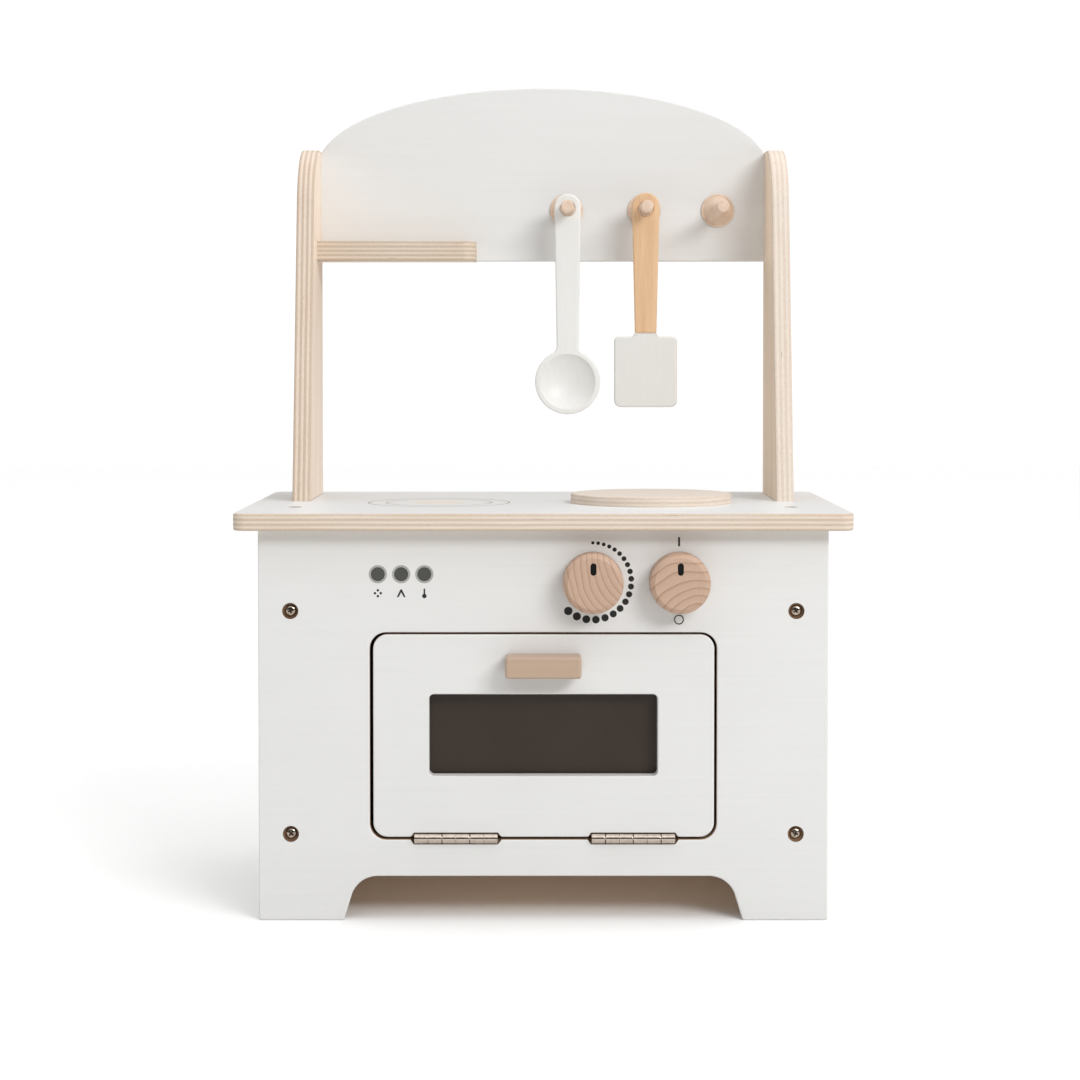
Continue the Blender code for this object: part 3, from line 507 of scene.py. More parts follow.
def turned(profile, place, pointing, finish, steps=64):
    """A turned piece: a profile of (radius, height), from its tip down to its foot."""
    work = bmesh.new()
    rings = []
    for radius, height in profile:
        around = [math.tau * i / steps for i in range(steps if radius > 0 else 1)]
        rings.append([work.verts.new((radius * math.cos(a), radius * math.sin(a), height))
                      for a in around])
    for above, below in zip(rings, rings[1:]):
        for i in range(steps):
            j = (i + 1) % steps
            corners = [below[i % len(below)], below[j % len(below)],
                       above[j % len(above)], above[i % len(above)]]
            work.faces.new(list(dict.fromkeys(corners)))
    return as_mesh(work, "turned", Matrix.Translation(place) @ POINTING[pointing], [finish])


print("boards face", ", ".join(FACING), "and turned pieces point", ", ".join(POINTING))

# %% [markdown]
# Holes and pockets are cut with a Boolean, as a drill or a router would cut them. The cut
# faces keep the cutter's own finish, so a recess in a painted board shows bare wood. The
# result is read back as a plain mesh, and the cutter is thrown away.

# %% Cutting and joining
def drill(radius, depth, above, place, pointing, steps=48):
    """A round cutter that goes into a face at place and stands out above it."""
    profile = [(0, above), (radius, above), (radius, -depth), (0, -depth)]
    return turned(profile, place, pointing, RAW_WOOD, steps)


def combined(mesh, tools, operation="DIFFERENCE"):
    """The mesh after each tool has been cut from it, or joined to it."""
    target = bpy.data.objects.new("work", mesh)
    helpers = [bpy.data.objects.new("tool", tool) for tool in tools]
    for thing in [target] + helpers:
        bpy.context.scene.collection.objects.link(thing)
    for helper in helpers:
        change = target.modifiers.new("cut", "BOOLEAN")
        change.operation = operation
        change.solver = "EXACT"
        change.material_mode = "TRANSFER"
        change.object = helper
    view = bpy.context.evaluated_depsgraph_get()
    result = bpy.data.meshes.new_from_object(target.evaluated_get(view))
    for thing in [target] + helpers:
        bpy.data.objects.remove(thing, do_unlink=True)
    return result


def joined(meshes):
    """Several closed meshes as one mesh, each keeping its finish."""
    work = bmesh.new()
    finishes = []
    for mesh in meshes:
        start = len(work.faces)
        work.from_mesh(mesh)
        work.faces.ensure_lookup_table()
        for face in work.faces[start:]:
            face.material_index += len(finishes)
        finishes += list(mesh.materials)
    made = bpy.data.meshes.new("joined")
    work.to_mesh(made)
    work.free()
    for finish in finishes:
        made.materials.append(finish)
    return made


print("meshes so far:", len(bpy.data.meshes))

# %% [markdown]
# Where two pieces are glued, one is let into the other by a little more than its eased edge.
# Otherwise the eased edges would leave a dark groove, which a tight joint doesn't show.

# %% Finishing a piece
JOINT = 0.0012


def piece(name, mesh, body, slot, *stands_for, sharp=35):
    """Show a mesh as a piece that rides on a body. The slot argument is not used."""
    mesh.name = name
    mesh.shade_smooth()
    mesh.set_sharp_from_angle(angle=math.radians(sharp))
    made = bpy.data.objects.new(name, mesh)
    bpy.context.scene.collection.objects.link(made)
    normals = made.modifiers.new("even_shading", "WEIGHTED_NORMAL")
    normals.keep_sharp = True
    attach(made, body)
    if stands_for:
        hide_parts(*stands_for)
    return made


def snug(node, *sides):
    """A node's box, let out on some sides so that the glued joint has no open edge."""
    low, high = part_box(node)
    for side in sides:
        end = low if side[0] == "-" else high
        axis = AXES[side[1]]
        end[axis] += -JOINT if side[0] == "-" else JOINT
    return low, high


def middle(node):
    low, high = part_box(node)
    return (low + high) / 2


print("shape tools ready")

# %% [markdown]
# ## Front panel
# The front panel is one board of plywood, painted on its faces and outer edges. It is sawn
# to its outline, with an arch that leaves two feet, and the oven's opening is cut out of it.
# The door is nearly the cut-out itself: a saw gap wide all round. Two routed notches hold the
# hinge barrels, and four round recesses take the screws. The paint stops at the gap, the notches
# and the recesses, whose walls are bare wood. The gap looks dark from its own shade. The walls
# of the notches and recesses are painted a deep brown, which is painted shade.

# %% Measures of the front panel
panel_low, panel_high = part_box("front_panel")
door_low, door_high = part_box("oven_door")
SAW_GAP = {"side": 0.0016, "low": 0.0017, "top": 0.0012}
DOOR_CORNER = 0.0088
DOOR_TRIM = 0.0005
OPENING_CORNER = DOOR_CORNER + 0.0012
ARCH_TOP = 0.0269
ARCH_FLOOR_X = 0.1210
ARCH_LEAN = 0.0082
ARCH_CORNER = 0.0165
FOOT_CORNER = 0.0016
TIGHT_CORNER = 0.001
PANEL_EASE = 0.0009
NOTCH = {"end": 0.0004, "slope": 0.0027, "half": 0.0036, "depth": 0.0038}
BED = {"half": 0.00105, "behind": 0.0004, "before": 0.0001}
FRONT_SCREWS = [f"{side}_{level}_front_screw" for side in ("left", "right")
                for level in ("upper", "lower")]
RECESS = {"radius": 0.0049, "depth": 0.0034, "floor": 0.0031}
SAW_PAST = 0.002
print("panel measures:", round(1000 * panel_high.x * 2), "x", round(1000 * panel_high.z), "mm")


# %% Cutters for the hinges and the screws
def notch_cutter(side):
    """The routed pocket round one hinge barrel, with pointed ends."""
    low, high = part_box(side + "_hinge_pin")
    centre, half = (low + high) / 2, NOTCH["half"]
    left, right = low.x - NOTCH["end"], high.x + NOTCH["end"]
    outline = [(left - NOTCH["slope"], centre.z), (left, centre.z - half),
               (right, centre.z - half), (right + NOTCH["slope"], centre.z),
               (right, centre.z + half), (left, centre.z + half)]
    front = -panel_low.y
    # The notch walls take the darkened recess wood, which is painted shade.
    return slab([outline], front - NOTCH["depth"], front + SAW_PAST, 0, "front", [RECESS_SHADE_WOOD])


def bed_cutter(side):
    """The shallow bed behind the notch, for the hinge's two leaves."""
    low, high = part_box(side + "_hinge_door_leaf")
    centre = middle(side + "_hinge_pin")
    outline = rectangle(low.x - NOTCH["end"], high.x + NOTCH["end"], centre.z - BED["half"],
                        centre.z + BED["half"])
    return slab([outline], -high.y - BED["behind"], -centre.y + BED["before"], 0, "front",
                [RAW_WOOD])


def recess_cutter(name):
    centre = middle(name)
    top = RECESS["floor"] + SAW_PAST
    profile = [(0, top), (RECESS["radius"], top), (RECESS["radius"], 0), (0, 0)]
    # The recess walls take the darkened recess wood, which is painted shade.
    return turned(profile, (centre.x, panel_low.y + RECESS["floor"], centre.z), "forward",
                  RECESS_SHADE_WOOD, 48)


print("recesses:", len(FRONT_SCREWS))


# %% Front panel
def make_front_panel():
    half, top = panel_high.x, panel_high.z
    lean = ARCH_FLOOR_X - ARCH_LEAN
    outer = rounded((-half, 0, FOOT_CORNER), (-ARCH_FLOOR_X, 0, TIGHT_CORNER),
                    (-lean, ARCH_TOP, ARCH_CORNER), (lean, ARCH_TOP, ARCH_CORNER),
                    (ARCH_FLOOR_X, 0, TIGHT_CORNER), (half, 0, FOOT_CORNER),
                    (half, top, TIGHT_CORNER), (-half, top, TIGHT_CORNER), steps=12)
    opening = rectangle(door_low.x - SAW_GAP["side"], door_high.x + SAW_GAP["side"],
                        door_low.z - SAW_GAP["low"], door_high.z + SAW_GAP["top"],
                        OPENING_CORNER, 14)
    mesh = slab([outer, opening[::-1]], -panel_high.y, -panel_low.y, PANEL_EASE, "front",
                [WHITE], walls=[WHITE, RAW_WOOD])
    tools = [recess_cutter(name) for name in FRONT_SCREWS]
    for side in ("left", "right"):
        tools += [notch_cutter(side), bed_cutter(side)]
    return piece("painted_front_panel", combined(mesh, tools), "cabinet", "white_paint",
                 "front_panel")


front = make_front_panel()
print("front panel faces:", len(front.data.polygons))

# %% [markdown]
# ## Side, back and floor boards
# The sides stand on the floor behind the front panel. They are painted outside and left as
# bare plywood inside, like the back panel and the oven's floor, because a toy's inside is
# seldom painted. Their edges are only lightly sanded.

# %% Cabinet boards
BARE_SIDE = birch_face("bare_side", "Y", colour(242, 222, 198), colour(232, 208, 180))
BARE_BACK = birch_face("bare_back", "X", colour(242, 222, 198), colour(232, 208, 180))
BOARD_EASE = 0.0008
BOARD_CORNER = 0.0004


def side_panel(side):
    low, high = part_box(side + "_side_panel")
    outline = rectangle(low.y, high.y, low.z, high.z, BOARD_CORNER, 2)
    finishes = [WHITE, WHITE, BARE_SIDE] if side == "left" else [BARE_SIDE, WHITE, WHITE]
    mesh = slab([outline], low.x, high.x, BOARD_EASE, "side", finishes)
    return piece(f"{side}_side_board", mesh, "cabinet", "white_paint", side + "_side_panel")


def back_board():
    low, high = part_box("back_panel")
    outline = rectangle(low.x, high.x, low.z, high.z, BOARD_CORNER, 2)
    mesh = slab([outline], -high.y, -low.y, BOARD_EASE, "front", [WHITE, WHITE, BARE_BACK])
    return piece("back_board", mesh, "cabinet", "white_paint", "back_panel")


def oven_floor_board():
    low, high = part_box("oven_floor")
    edge = ply_edge("oven_floor_edge", "Z", low.z, high.z, 5, "X")
    outline = rectangle(low.x, high.x, low.y, high.y, BOARD_CORNER, 2)
    mesh = slab([outline], low.z, high.z, 0.0005, "up", [BARE_BACK, edge, BARE_BACK])
    return piece("oven_floor_board", mesh, "cabinet", "birch_plywood", "oven_floor")


for side in ("left", "right"):
    side_panel(side)
back_board()
oven_floor_board()

# %% [markdown]
# ## Worktop
# The worktop is a thick plywood board with well rounded corners. Paint covers only its top,
# and the sawn edge is left to show its plies. The left hob is printed on the paint as thin
# rings about a filled disc, and the two screws lie level with the top, in countersinks.

# %% Worktop and printed hob
top_low, top_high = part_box("worktop")
TOP_CORNER = 0.0080
TOP_EASE = 0.0013
PRINT_T = 0.00006
HOB_RINGS = ((0.04575, 0.0009), (0.03425, 0.0007))
HOB_DISC_R = 0.0178
HOB_X = -0.067
COUNTERSINK = {"play": 0.00035, "depth": 0.0009, "above": 0.001}


def make_worktop():
    edge = ply_edge("worktop_edge", "Z", top_low.z, top_high.z, 7, "X")
    under = birch_face("worktop_underside", "X", colour(234, 217, 196), colour(220, 199, 173))
    outline = rectangle(top_low.x, top_high.x, top_low.y, top_high.y, TOP_CORNER, 16)
    mesh = slab([outline], top_low.z, top_high.z, TOP_EASE, "up", [under, edge, WHITE], 6)
    tools = []
    for side in ("left", "right"):
        low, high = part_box(side + "_worktop_screw")
        radius, centre = (high.x - low.x) / 2 + COUNTERSINK["play"], (low + high) / 2
        tools.append(drill(radius, COUNTERSINK["depth"], COUNTERSINK["above"],
                           (centre.x, centre.y, top_high.z), "up"))
    return piece("worktop_board", combined(mesh, tools), "cabinet", "white_paint", "worktop")


def print_flat(name, loops, level, facing, finish, body="cabinet", slot="black_inlay"):
    """A thin layer of ink on a face."""
    mesh = slab(loops, level, level + PRINT_T, 0, facing, [finish])
    return piece(name, mesh, body, slot)


def ring_loops(u, v, radius, width, steps=128):
    return [circle(u, v, radius, steps), circle(u, v, radius - width, steps)[::-1]]


make_worktop()
hob_y = middle("hob_disc").y
for number, (radius, width) in enumerate(HOB_RINGS, 1):
    print_flat(f"printed_hob_ring_{number}", ring_loops(HOB_X, hob_y, radius, width),
               top_high.z, "up", BEIGE_INK)
print_flat("printed_hob_disc", [circle(HOB_X, hob_y, HOB_DISC_R, 96)], top_high.z, "up",
           CREAM_INK)
print("printed hob is", 2000 * HOB_RINGS[0][0], "mm across")

# %% [markdown]
# ## Raised hob
# The right hob is a disc cut from thin plywood, sanded round its upper edge and left in
# bare birch, so its face shows long grain and its rim shows the plies.

# %% Raised hob disc
def make_hob_disc():
    low, high = snug("hob_disc", "-Z")
    centre, radius = (low + high) / 2, (high.x - low.x) / 2
    face = birch_face("hob_face", "X", colour(231, 222, 214), colour(224, 213, 203))
    edge = ply_edge("hob_edge", "Z", low.z, high.z, 5, "X", colour(232, 219, 206),
                    colour(217, 202, 187))
    outline = circle(centre.x, centre.y, radius, 160)
    mesh = slab([outline], low.z, high.z, 0.0010, "up", [face, edge, face])
    return piece("hob_plate", mesh, "cabinet", "birch_plywood", "hob_disc")


hob = make_hob_disc()
print("raised hob is", round(1000 * hob.dimensions.x, 1), "mm across")

# %% [markdown]
# ## Posts, backboard and shelf
# Each post leans back in front and rounds over at its crown. Its sides are birch veneer with
# upright grain, and its front edge shows the plies as upright bands. The backboard between
# them is painted, its top an ellipse. The shelf is a thick strip of plywood with one rounded
# corner, screwed through the left post.

# %% Posts
POST_CROWN = 0.045
POST_TOP_DEPTH = 0.0545
POST_EASE = 0.0011
POST_PLIES = 7
POST_DRILL = {"radius": 0.0036, "depth": 0.0026}
# Ply and face colours per post. The right post's face tint is a little darker and warmer than
# the left's: painted shade, for its inner face, which is turned away from the key light.
POST_WOOD_AND_SHADE = {"left": (colour(231, 215, 200), colour(205, 185, 165),
                      colour(248, 234, 221), colour(240, 222, 206)),
             "right": (colour(232, 221, 209), colour(221, 206, 192),
                       colour(246, 228, 207), colour(236, 214, 190))}
BOARD_SCREWS = {"left_backboard_screw": "left", "right_backboard_screw": "right",
                "shelf_screw": "left"}


def make_post(side):
    low, high = snug(side + "_post", "-Z")
    outline = rounded((low.y, low.z, 0.0003), (high.y, low.z, 0.0003),
                      (high.y, high.z, 0.0015), (high.y - POST_TOP_DEPTH, high.z, POST_CROWN),
                      steps=24)
    # The right post's face colours carry painted shade.
    light, dark, tint, deep = POST_WOOD_AND_SHADE[side]
    face = birch_face(side + "_post_face", "Z", tint, deep)
    edge = ply_edge(side + "_post_edge", "X", low.x, high.x, POST_PLIES, "Z", light, dark)
    mesh = slab([outline], low.x, high.x, POST_EASE, "side", [face, edge, face])
    tools = []
    for name in [name for name, post in BOARD_SCREWS.items() if post == side]:
        at = middle(name)
        face_x = low.x if side == "left" else high.x
        tools.append(drill(POST_DRILL["radius"], POST_DRILL["depth"], SAW_PAST,
                           (face_x, at.y, at.z), side, 40))
    return piece(f"{side}_upright", combined(mesh, tools), "cabinet", "birch_plywood",
                 side + "_post")


for side in ("left", "right"):
    make_post(side)

# %% Backboard and shelf
back_low, back_high = snug("backboard", "-X", "+X")
BOARD_ARCH_Z = 0.4719
BOARD_ARCH_A = 0.1535
BOARD_ARCH_B = 0.0535
SHELF_CORNER = 0.009


def make_backboard():
    start = math.degrees(math.acos(back_high.x / BOARD_ARCH_A))
    steps = 90
    turns = [math.radians(start + (180 - 2 * start) * i / steps) for i in range(steps + 1)]
    crown = [(BOARD_ARCH_A * math.cos(a), BOARD_ARCH_Z + BOARD_ARCH_B * math.sin(a))
             for a in turns]
    outline = [(back_low.x, back_low.z), (back_high.x, back_low.z)] + crown
    mesh = slab([outline], -back_high.y, -back_low.y, 0.0012, "front", [WHITE])
    return piece("painted_backboard", mesh, "cabinet", "white_paint", "backboard")


def make_shelf():
    low, high = snug("shelf", "-X", "+Y")
    outline = rounded((low.x, low.y, 0.0005), (high.x, low.y, SHELF_CORNER),
                      (high.x, high.y, 0.0005), (low.x, high.y, 0.0005), steps=14)
    face = birch_face("shelf_face", "X", colour(226, 210, 191), colour(216, 197, 175))
    edge = ply_edge("shelf_edge", "Z", low.z, high.z, 9, "X", colour(222, 207, 190),
                    colour(200, 184, 166))
    mesh = slab([outline], low.z, high.z, 0.0010, "up", [face, edge, face])
    return piece("shelf_board", mesh, "cabinet", "birch_plywood", "shelf")


make_backboard()
make_shelf()
print("backboard is", round(1000 * (back_high.z - back_low.z), 1), "mm high in the middle")

# %% [markdown]
# ## Pegs
# A peg is turned from a beech rod: a broad foot with a small bead round it, a hollow sweep in
# to the shaft, and a tip whose corner is only just taken off. The sweep is a power curve,
# which leaves the shaft gently and reaches the foot steeply.

# %% Pegs
PEG_CONE = 0.0135
PEG_RIM = 0.0014
PEG_BEAD = 0.0013
PEG_SHAFT_R = 0.0041
PEG_TIP_R = 0.0008
PEG_SWEEP = 1.75


def make_peg(name):
    low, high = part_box(name)
    centre, foot_r = (low + high) / 2, (high.x - low.x) / 2
    foot_y = back_low.y - 0.0003
    length = foot_y - low.y
    tip = [(0, length)]
    tip += arc(PEG_SHAFT_R - PEG_TIP_R, length - PEG_TIP_R, PEG_TIP_R, 90, 0, 5)
    sweep = []
    for i in range(25):
        t = i / 24
        radius = PEG_SHAFT_R + (foot_r - PEG_BEAD - PEG_SHAFT_R) * t ** PEG_SWEEP
        sweep.append((radius, PEG_CONE - (PEG_CONE - PEG_RIM) * t))
    foot = [(foot_r - 0.0011, PEG_RIM + 0.0002), (foot_r - 0.0005, PEG_RIM + 0.0001),
            (foot_r, PEG_RIM - 0.0004), (foot_r, 0.0003), (foot_r - 0.0003, 0), (0, 0)]
    mesh = turned(tip + sweep + foot, (centre.x, foot_y, centre.z), "forward", PEG_BEECH, 72)
    return piece("turned_" + name, mesh, "cabinet", "beech", name)


for where in ("left", "middle", "right"):
    make_peg(where + "_peg")

# %% [markdown]
# ## Spoon and spatula
# The spoon is one piece of wood, sprayed white: a flat handle that widens upwards and a
# round bowl, hollow in front and domed behind. The handle is a board and the bowl is turned.
# A Boolean joins the two into one solid. The neck has a small fillet on each side,
# where the handle's outline meets the bowl's circle.

# %% Spoon
SPOON_NECK_HALF = 0.0074
SPOON_NECK_R = 0.0050
HANG_HOLE_R = 0.0049
SPOON_TOP_HALF = 0.0089
SPOON_THICK = 0.006
SPOON_EASE = 0.0012
BOWL_OVERLAP = 0.0022
BOWL_RIM = 0.0191
BOWL_HOLLOW = 0.0072
BOWL_LIP = {"inner": 0.0009, "outer": 0.0012}
BOWL_EDGE = 0.0016
hang_z = middle("left_peg").z - 0.0005


def hanging_handle(x, top, top_half, lower_points, ease, low_y, high_y, finish):
    """A flat handle with a round top and a hole, hanging from a peg."""
    outline = arc(x, top - top_half, top_half, 0, 180, 24) + lower_points
    hole = circle(x, hang_z, HANG_HOLE_R, 56)[::-1]
    return slab([outline, hole], -high_y, -low_y, ease, "front", [finish], 5)


def bowl_profile(bowl_r, depth):
    """Half the bowl's section: hollow, lip and domed back."""
    hollow_r = (BOWL_RIM ** 2 + BOWL_HOLLOW ** 2) / (2 * BOWL_HOLLOW)
    spread_in = math.degrees(math.asin(BOWL_RIM / hollow_r))
    hollow = [(radius, height + hollow_r - BOWL_HOLLOW) for height, radius in
              arc(0, 0, hollow_r, 180, 180 - spread_in, 18)]
    inner, outer = BOWL_LIP["inner"], BOWL_LIP["outer"]
    lip = arc(BOWL_RIM - 0.0001, -inner, inner, 130, 90, 4)
    lip += arc(bowl_r - outer, -outer, outer, 90, 0, 6)
    back_r = ((bowl_r + 0.001) ** 2 + depth ** 2) / (2 * depth)
    back = []
    for i in range(18):
        radius = bowl_r * (1 - i / 17) ** 0.8
        height = back_r - depth - math.sqrt(back_r ** 2 - radius ** 2)
        back.append((radius, min(height, -BOWL_EDGE)))
    return hollow + lip + back


def make_spoon():
    low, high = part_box("spoon")
    x, bowl_r = (low.x + high.x) / 2, (high.x - low.x) / 2
    bowl_z, front_y = low.z + bowl_r, low.y
    reach = bowl_r + SPOON_NECK_R
    across = SPOON_NECK_HALF + SPOON_NECK_R
    rise = math.sqrt(reach ** 2 - across ** 2)
    lean = math.degrees(math.atan2(rise, across))
    left_fillet = arc(x - across, bowl_z + rise, SPOON_NECK_R, 0, -lean, 8)
    right_fillet = arc(x + across, bowl_z + rise, SPOON_NECK_R, 180 + lean, 180, 8)
    chord = arc(x, bowl_z, bowl_r - BOWL_OVERLAP, 180 - lean, lean, 14)
    handle = hanging_handle(x, high.z, SPOON_TOP_HALF, left_fillet + chord + right_fillet,
                            SPOON_EASE, front_y, front_y + SPOON_THICK, UTENSIL_WHITE)
    bowl = turned(bowl_profile(bowl_r, high.y - low.y), (x, front_y, bowl_z), "forward",
                  UTENSIL_WHITE, 96)
    return piece("painted_spoon", combined(handle, [bowl], "UNION"), "spoon",
                 "utensil_paint", "spoon", sharp=30)


spoon = make_spoon()
print("spoon is", round(1000 * spoon.dimensions.z, 1), "mm long")

# %% [markdown]
# The spatula is two pieces. Its handle is clear-varnished beech, and a painted blade is
# glued on to a tongue at its end. The blade is a slip of plywood with well rounded corners
# and edges that taper a little towards the sides.

# %% Spatula
NECK_HALF = 0.0072
HANDLE_EASE = 0.0011
SHOULDER = {"drop": 0.0021, "step": 0.0018, "corner": 0.0008}
BLADE_CORNERS = {"upper": 0.0032, "lower": 0.0044}
BLADE_EASE = 0.0013


def make_spatula_handle():
    low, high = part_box("spatula_handle")
    blade_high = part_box("spatula_blade")[1]
    x, neck = (low.x + high.x) / 2, blade_high.z + 0.0003
    lower = [(x - NECK_HALF, neck), (x + NECK_HALF, neck)]
    mesh = hanging_handle(x, high.z, (high.x - low.x) / 2, lower, HANDLE_EASE, low.y, high.y,
                          HANDLE_BEECH)
    return piece("varnished_handle", mesh, "spatula", "beech", "spatula_handle")


def make_spatula_blade():
    low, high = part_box("spatula_blade")
    x, half = (low.x + high.x) / 2, (high.x - low.x) / 2
    shoulder, corner = high.z - SHOULDER["drop"], SHOULDER["corner"]
    upper, lower = BLADE_CORNERS["upper"], BLADE_CORNERS["lower"]
    inner, step = NECK_HALF + 0.0001, NECK_HALF + SHOULDER["step"]
    outline = rounded((x - inner, high.z, 0.0003), (x - step, shoulder, corner),
                      (x - half, shoulder, upper), (x - half, low.z, lower),
                      (x + half, low.z, lower), (x + half, shoulder, upper),
                      (x + step, shoulder, corner), (x + inner, high.z, 0.0003), steps=8)
    mesh = slab([outline], -high.y, -low.y, BLADE_EASE, "front", [BLADE_WHITE], 5)
    return piece("painted_blade", mesh, "spatula", "utensil_paint", "spatula_blade")


make_spatula_handle()
blade = make_spatula_blade()
print("blade is", round(1000 * blade.dimensions.x, 1), "mm wide")

# %% [markdown]
# ## Knobs
# Each knob is a short length of beech, turned with a broad chamfer and rounded into its
# face. A black pill, let into the face, points to the setting. Each knob gets its own rings,
# as each is cut from a different place in the tree.

# %% Knobs
KNOB_HEARTS = {"left": (0.044, 0.020), "right": (0.013, -0.036)}
RING_SPACING = {"left": 0.0038, "right": 0.0056}
CHAMFER = 0.0023
FACE_EDGE_R, WALL_EDGE_R = 0.0006, 0.0009
PILL_PLAY = 0.0001


def pill(side, grow, deep, shallow, ease, finish):
    """The pointer's shape, from deep to shallow below the knob's face."""
    face = -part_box(side + "_knob")[0].y
    low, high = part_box(side + "_knob_pointer")
    x, half = (low.x + high.x) / 2, (high.x - low.x) / 2
    outline = arc(x, high.z - half, half + grow, 0, 180, 14)
    outline += arc(x, low.z + half, half + grow, 180, 360, 14)
    return slab([outline], face - deep, face - shallow, ease, "front", [finish])


def make_knob(side):
    low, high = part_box(side + "_knob")
    centre, radius = (low + high) / 2, (high.x - low.x) / 2
    depth = high.y - low.y
    heart = (centre.x + KNOB_HEARTS[side][0], centre.z + KNOB_HEARTS[side][1])
    beech = beech_rings(side + "_knob_beech", heart, RING_SPACING[side])
    face_r = radius - CHAMFER
    rim = arc(face_r - FACE_EDGE_R, depth - FACE_EDGE_R, FACE_EDGE_R, 90, 45, 5)
    wall = arc(radius - WALL_EDGE_R, depth - 0.0026, WALL_EDGE_R, 45, 0, 5)
    profile = [(0, depth)] + rim + wall + [(radius, 0.0004), (radius - 0.0004, 0), (0, 0)]
    mesh = turned(profile, (centre.x, high.y, centre.z), "forward", beech, 96)
    pocket = pill(side, PILL_PLAY, 0.0013, -0.001, 0, beech)
    piece(f"turned_{side}_knob", combined(mesh, [pocket]), side + "_knob", "beech",
          side + "_knob")
    piece(f"{side}_pointer_inlay", pill(side, 0, 0.0012, 0.0003, 0.0002, BLACK_PLASTIC),
          side + "_knob", "black_inlay", side + "_knob_pointer")


for side in ("left", "right"):
    make_knob(side)

# %% [markdown]
# ## Oven door
# The door's faces are painted like the panel, and its sawn outer edge is bare. It hangs a little
# to the right in its opening, so the left gap is the wider one. Its window is closed from behind
# by a smoked sheet, so the painted edge of the window shows as a pale frame. The sheet is drawn
# opaque, and its dark brown is its tint together with painted shade of the closed oven behind
# it. The handle is a small painted block with soft edges, screwed on from behind.

# %% Door, window and handle
window_low, window_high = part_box("window_pane")
PANE_LAP = 0.006
WINDOW_CORNER = 0.0030
HANDLE_DRILL = {"radius": 0.0039, "depth": 0.0027}
STRIKE_DRILL = {"radius": 0.0045, "depth": 0.0014}
HANDLE_SOFT = 0.0017


def make_door():
    outer = rectangle(door_low.x + DOOR_TRIM, door_high.x, door_low.z, door_high.z, DOOR_CORNER,
                      16)
    window = rectangle(window_low.x + PANE_LAP, window_high.x - PANE_LAP,
                       window_low.z + PANE_LAP, window_high.z - PANE_LAP, WINDOW_CORNER, 10)
    mesh = slab([outer, window[::-1]], -door_high.y, -door_low.y, PANEL_EASE, "front",
                [WHITE], walls=[RAW_WOOD, WHITE])
    tools = [cutter(side) for side in ("left", "right")
             for cutter in (notch_cutter, bed_cutter)]
    for name, hole in (("left_handle_screw", HANDLE_DRILL),
                       ("right_handle_screw", HANDLE_DRILL),
                       ("catch_strike_plate", STRIKE_DRILL)):
        at = middle(name)
        tools.append(drill(hole["radius"], hole["depth"], SAW_PAST,
                           (at.x, door_high.y, at.z), "back"))
    return piece("painted_oven_door", combined(mesh, tools), "oven_door", "white_paint",
                 "oven_door")


def make_pane():
    outline = rectangle(window_low.x, window_high.x, window_low.z, window_high.z, 0.002, 8)
    # The opaque dark sheet carries painted shade of the oven's inside.
    mesh = slab([outline], -window_high.y, -window_low.y, 0.0004, "front", [SMOKED_SHEET_AND_SHADE])
    return piece("smoked_window", mesh, "oven_door", "smoked_acrylic", "window_pane")


def make_handle():
    low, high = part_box("door_handle")
    outline = rectangle(low.x, high.x, low.z, high.z, HANDLE_SOFT, 8)
    mesh = slab([outline], -high.y, -low.y, HANDLE_SOFT, "front", [TAN], 7)
    return piece("painted_handle", mesh, "oven_door", "tan_paint", "door_handle")


door = make_door()
make_pane()
make_handle()
print("door is", round(1000 * door.dimensions.x), "mm wide")

# %% [markdown]
# ## Barrel hinges
# A barrel hinge has two leaves of thin plate whose ends are rolled into knuckles round one
# pin. Three knuckles belong to the cabinet and three to the door, turn and turn about. The
# rolling leaves a small chamfer at each knuckle's ends, which is why a dark line shows
# between them. Some joints are tighter than others. Each half is one piece that rides on its
# own body.

# %% Measures of the hinges
KNUCKLES = 6
KNUCKLE_GAP = 0.00035
BARREL_R, BORE_R, PIN_R = 0.0030, 0.00125, 0.0011
WIDE_JOINTS = {"left": (2, 4), "right": (1, 3, 5)}
CHAMFERS = {"wide": {"cut": 0.00040, "longer": 0.0},
            "fine": {"cut": 0.00015, "longer": 0.00010}}
LEAF_HALF_T = 0.00025
LEAF_OFFSET = 0.0005
LEAF_STARTS = 0.0034
TAB = {"in": 0.0004, "front": 0.0020, "back": 0.0040, "half_t": 0.00024}
LEAF_HOLE_R = 0.0017
BARREL_ENDS = {}
for side in ("left", "right"):
    ends = [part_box(f"{side}_hinge_{owner}_leaf") for owner in ("cabinet", "door")]
    BARREL_ENDS[side] = (min(low.x for low, high in ends), max(high.x for low, high in ends))
for side, (left, right) in BARREL_ENDS.items():
    print(side, "barrel is", round(1000 * (right - left), 1), "mm long")


# %% One knuckle
def knuckle(start, end, at, left_cut, right_cut, steps=40):
    """One rolled knuckle: a tube about the pin, chamfered at both ends."""
    length = end - start
    profile = [(BORE_R, length)]
    profile += arc(BARREL_R - right_cut, length - right_cut, right_cut, 90, 0, 3)
    profile += arc(BARREL_R - left_cut, left_cut, left_cut, 0, -90, 3)
    profile += [(BORE_R, 0.0)]
    around = [math.tau * i / steps for i in range(steps)]
    work = bmesh.new()
    rings = [[work.verts.new((radius * math.cos(a), radius * math.sin(a), height))
              for a in around] for radius, height in profile]
    for above, below in zip(rings, rings[1:] + rings[:1]):
        for i in range(steps):
            j = (i + 1) % steps
            work.faces.new((below[i], below[j], above[j], above[i]))
    place = Matrix.Translation((start, at.y, at.z)) @ POINTING["right"]
    return as_mesh(work, "knuckle", place, [NICKEL])


print("a knuckle's wall is", round(1000 * (BARREL_R - BORE_R), 2), "mm thick")


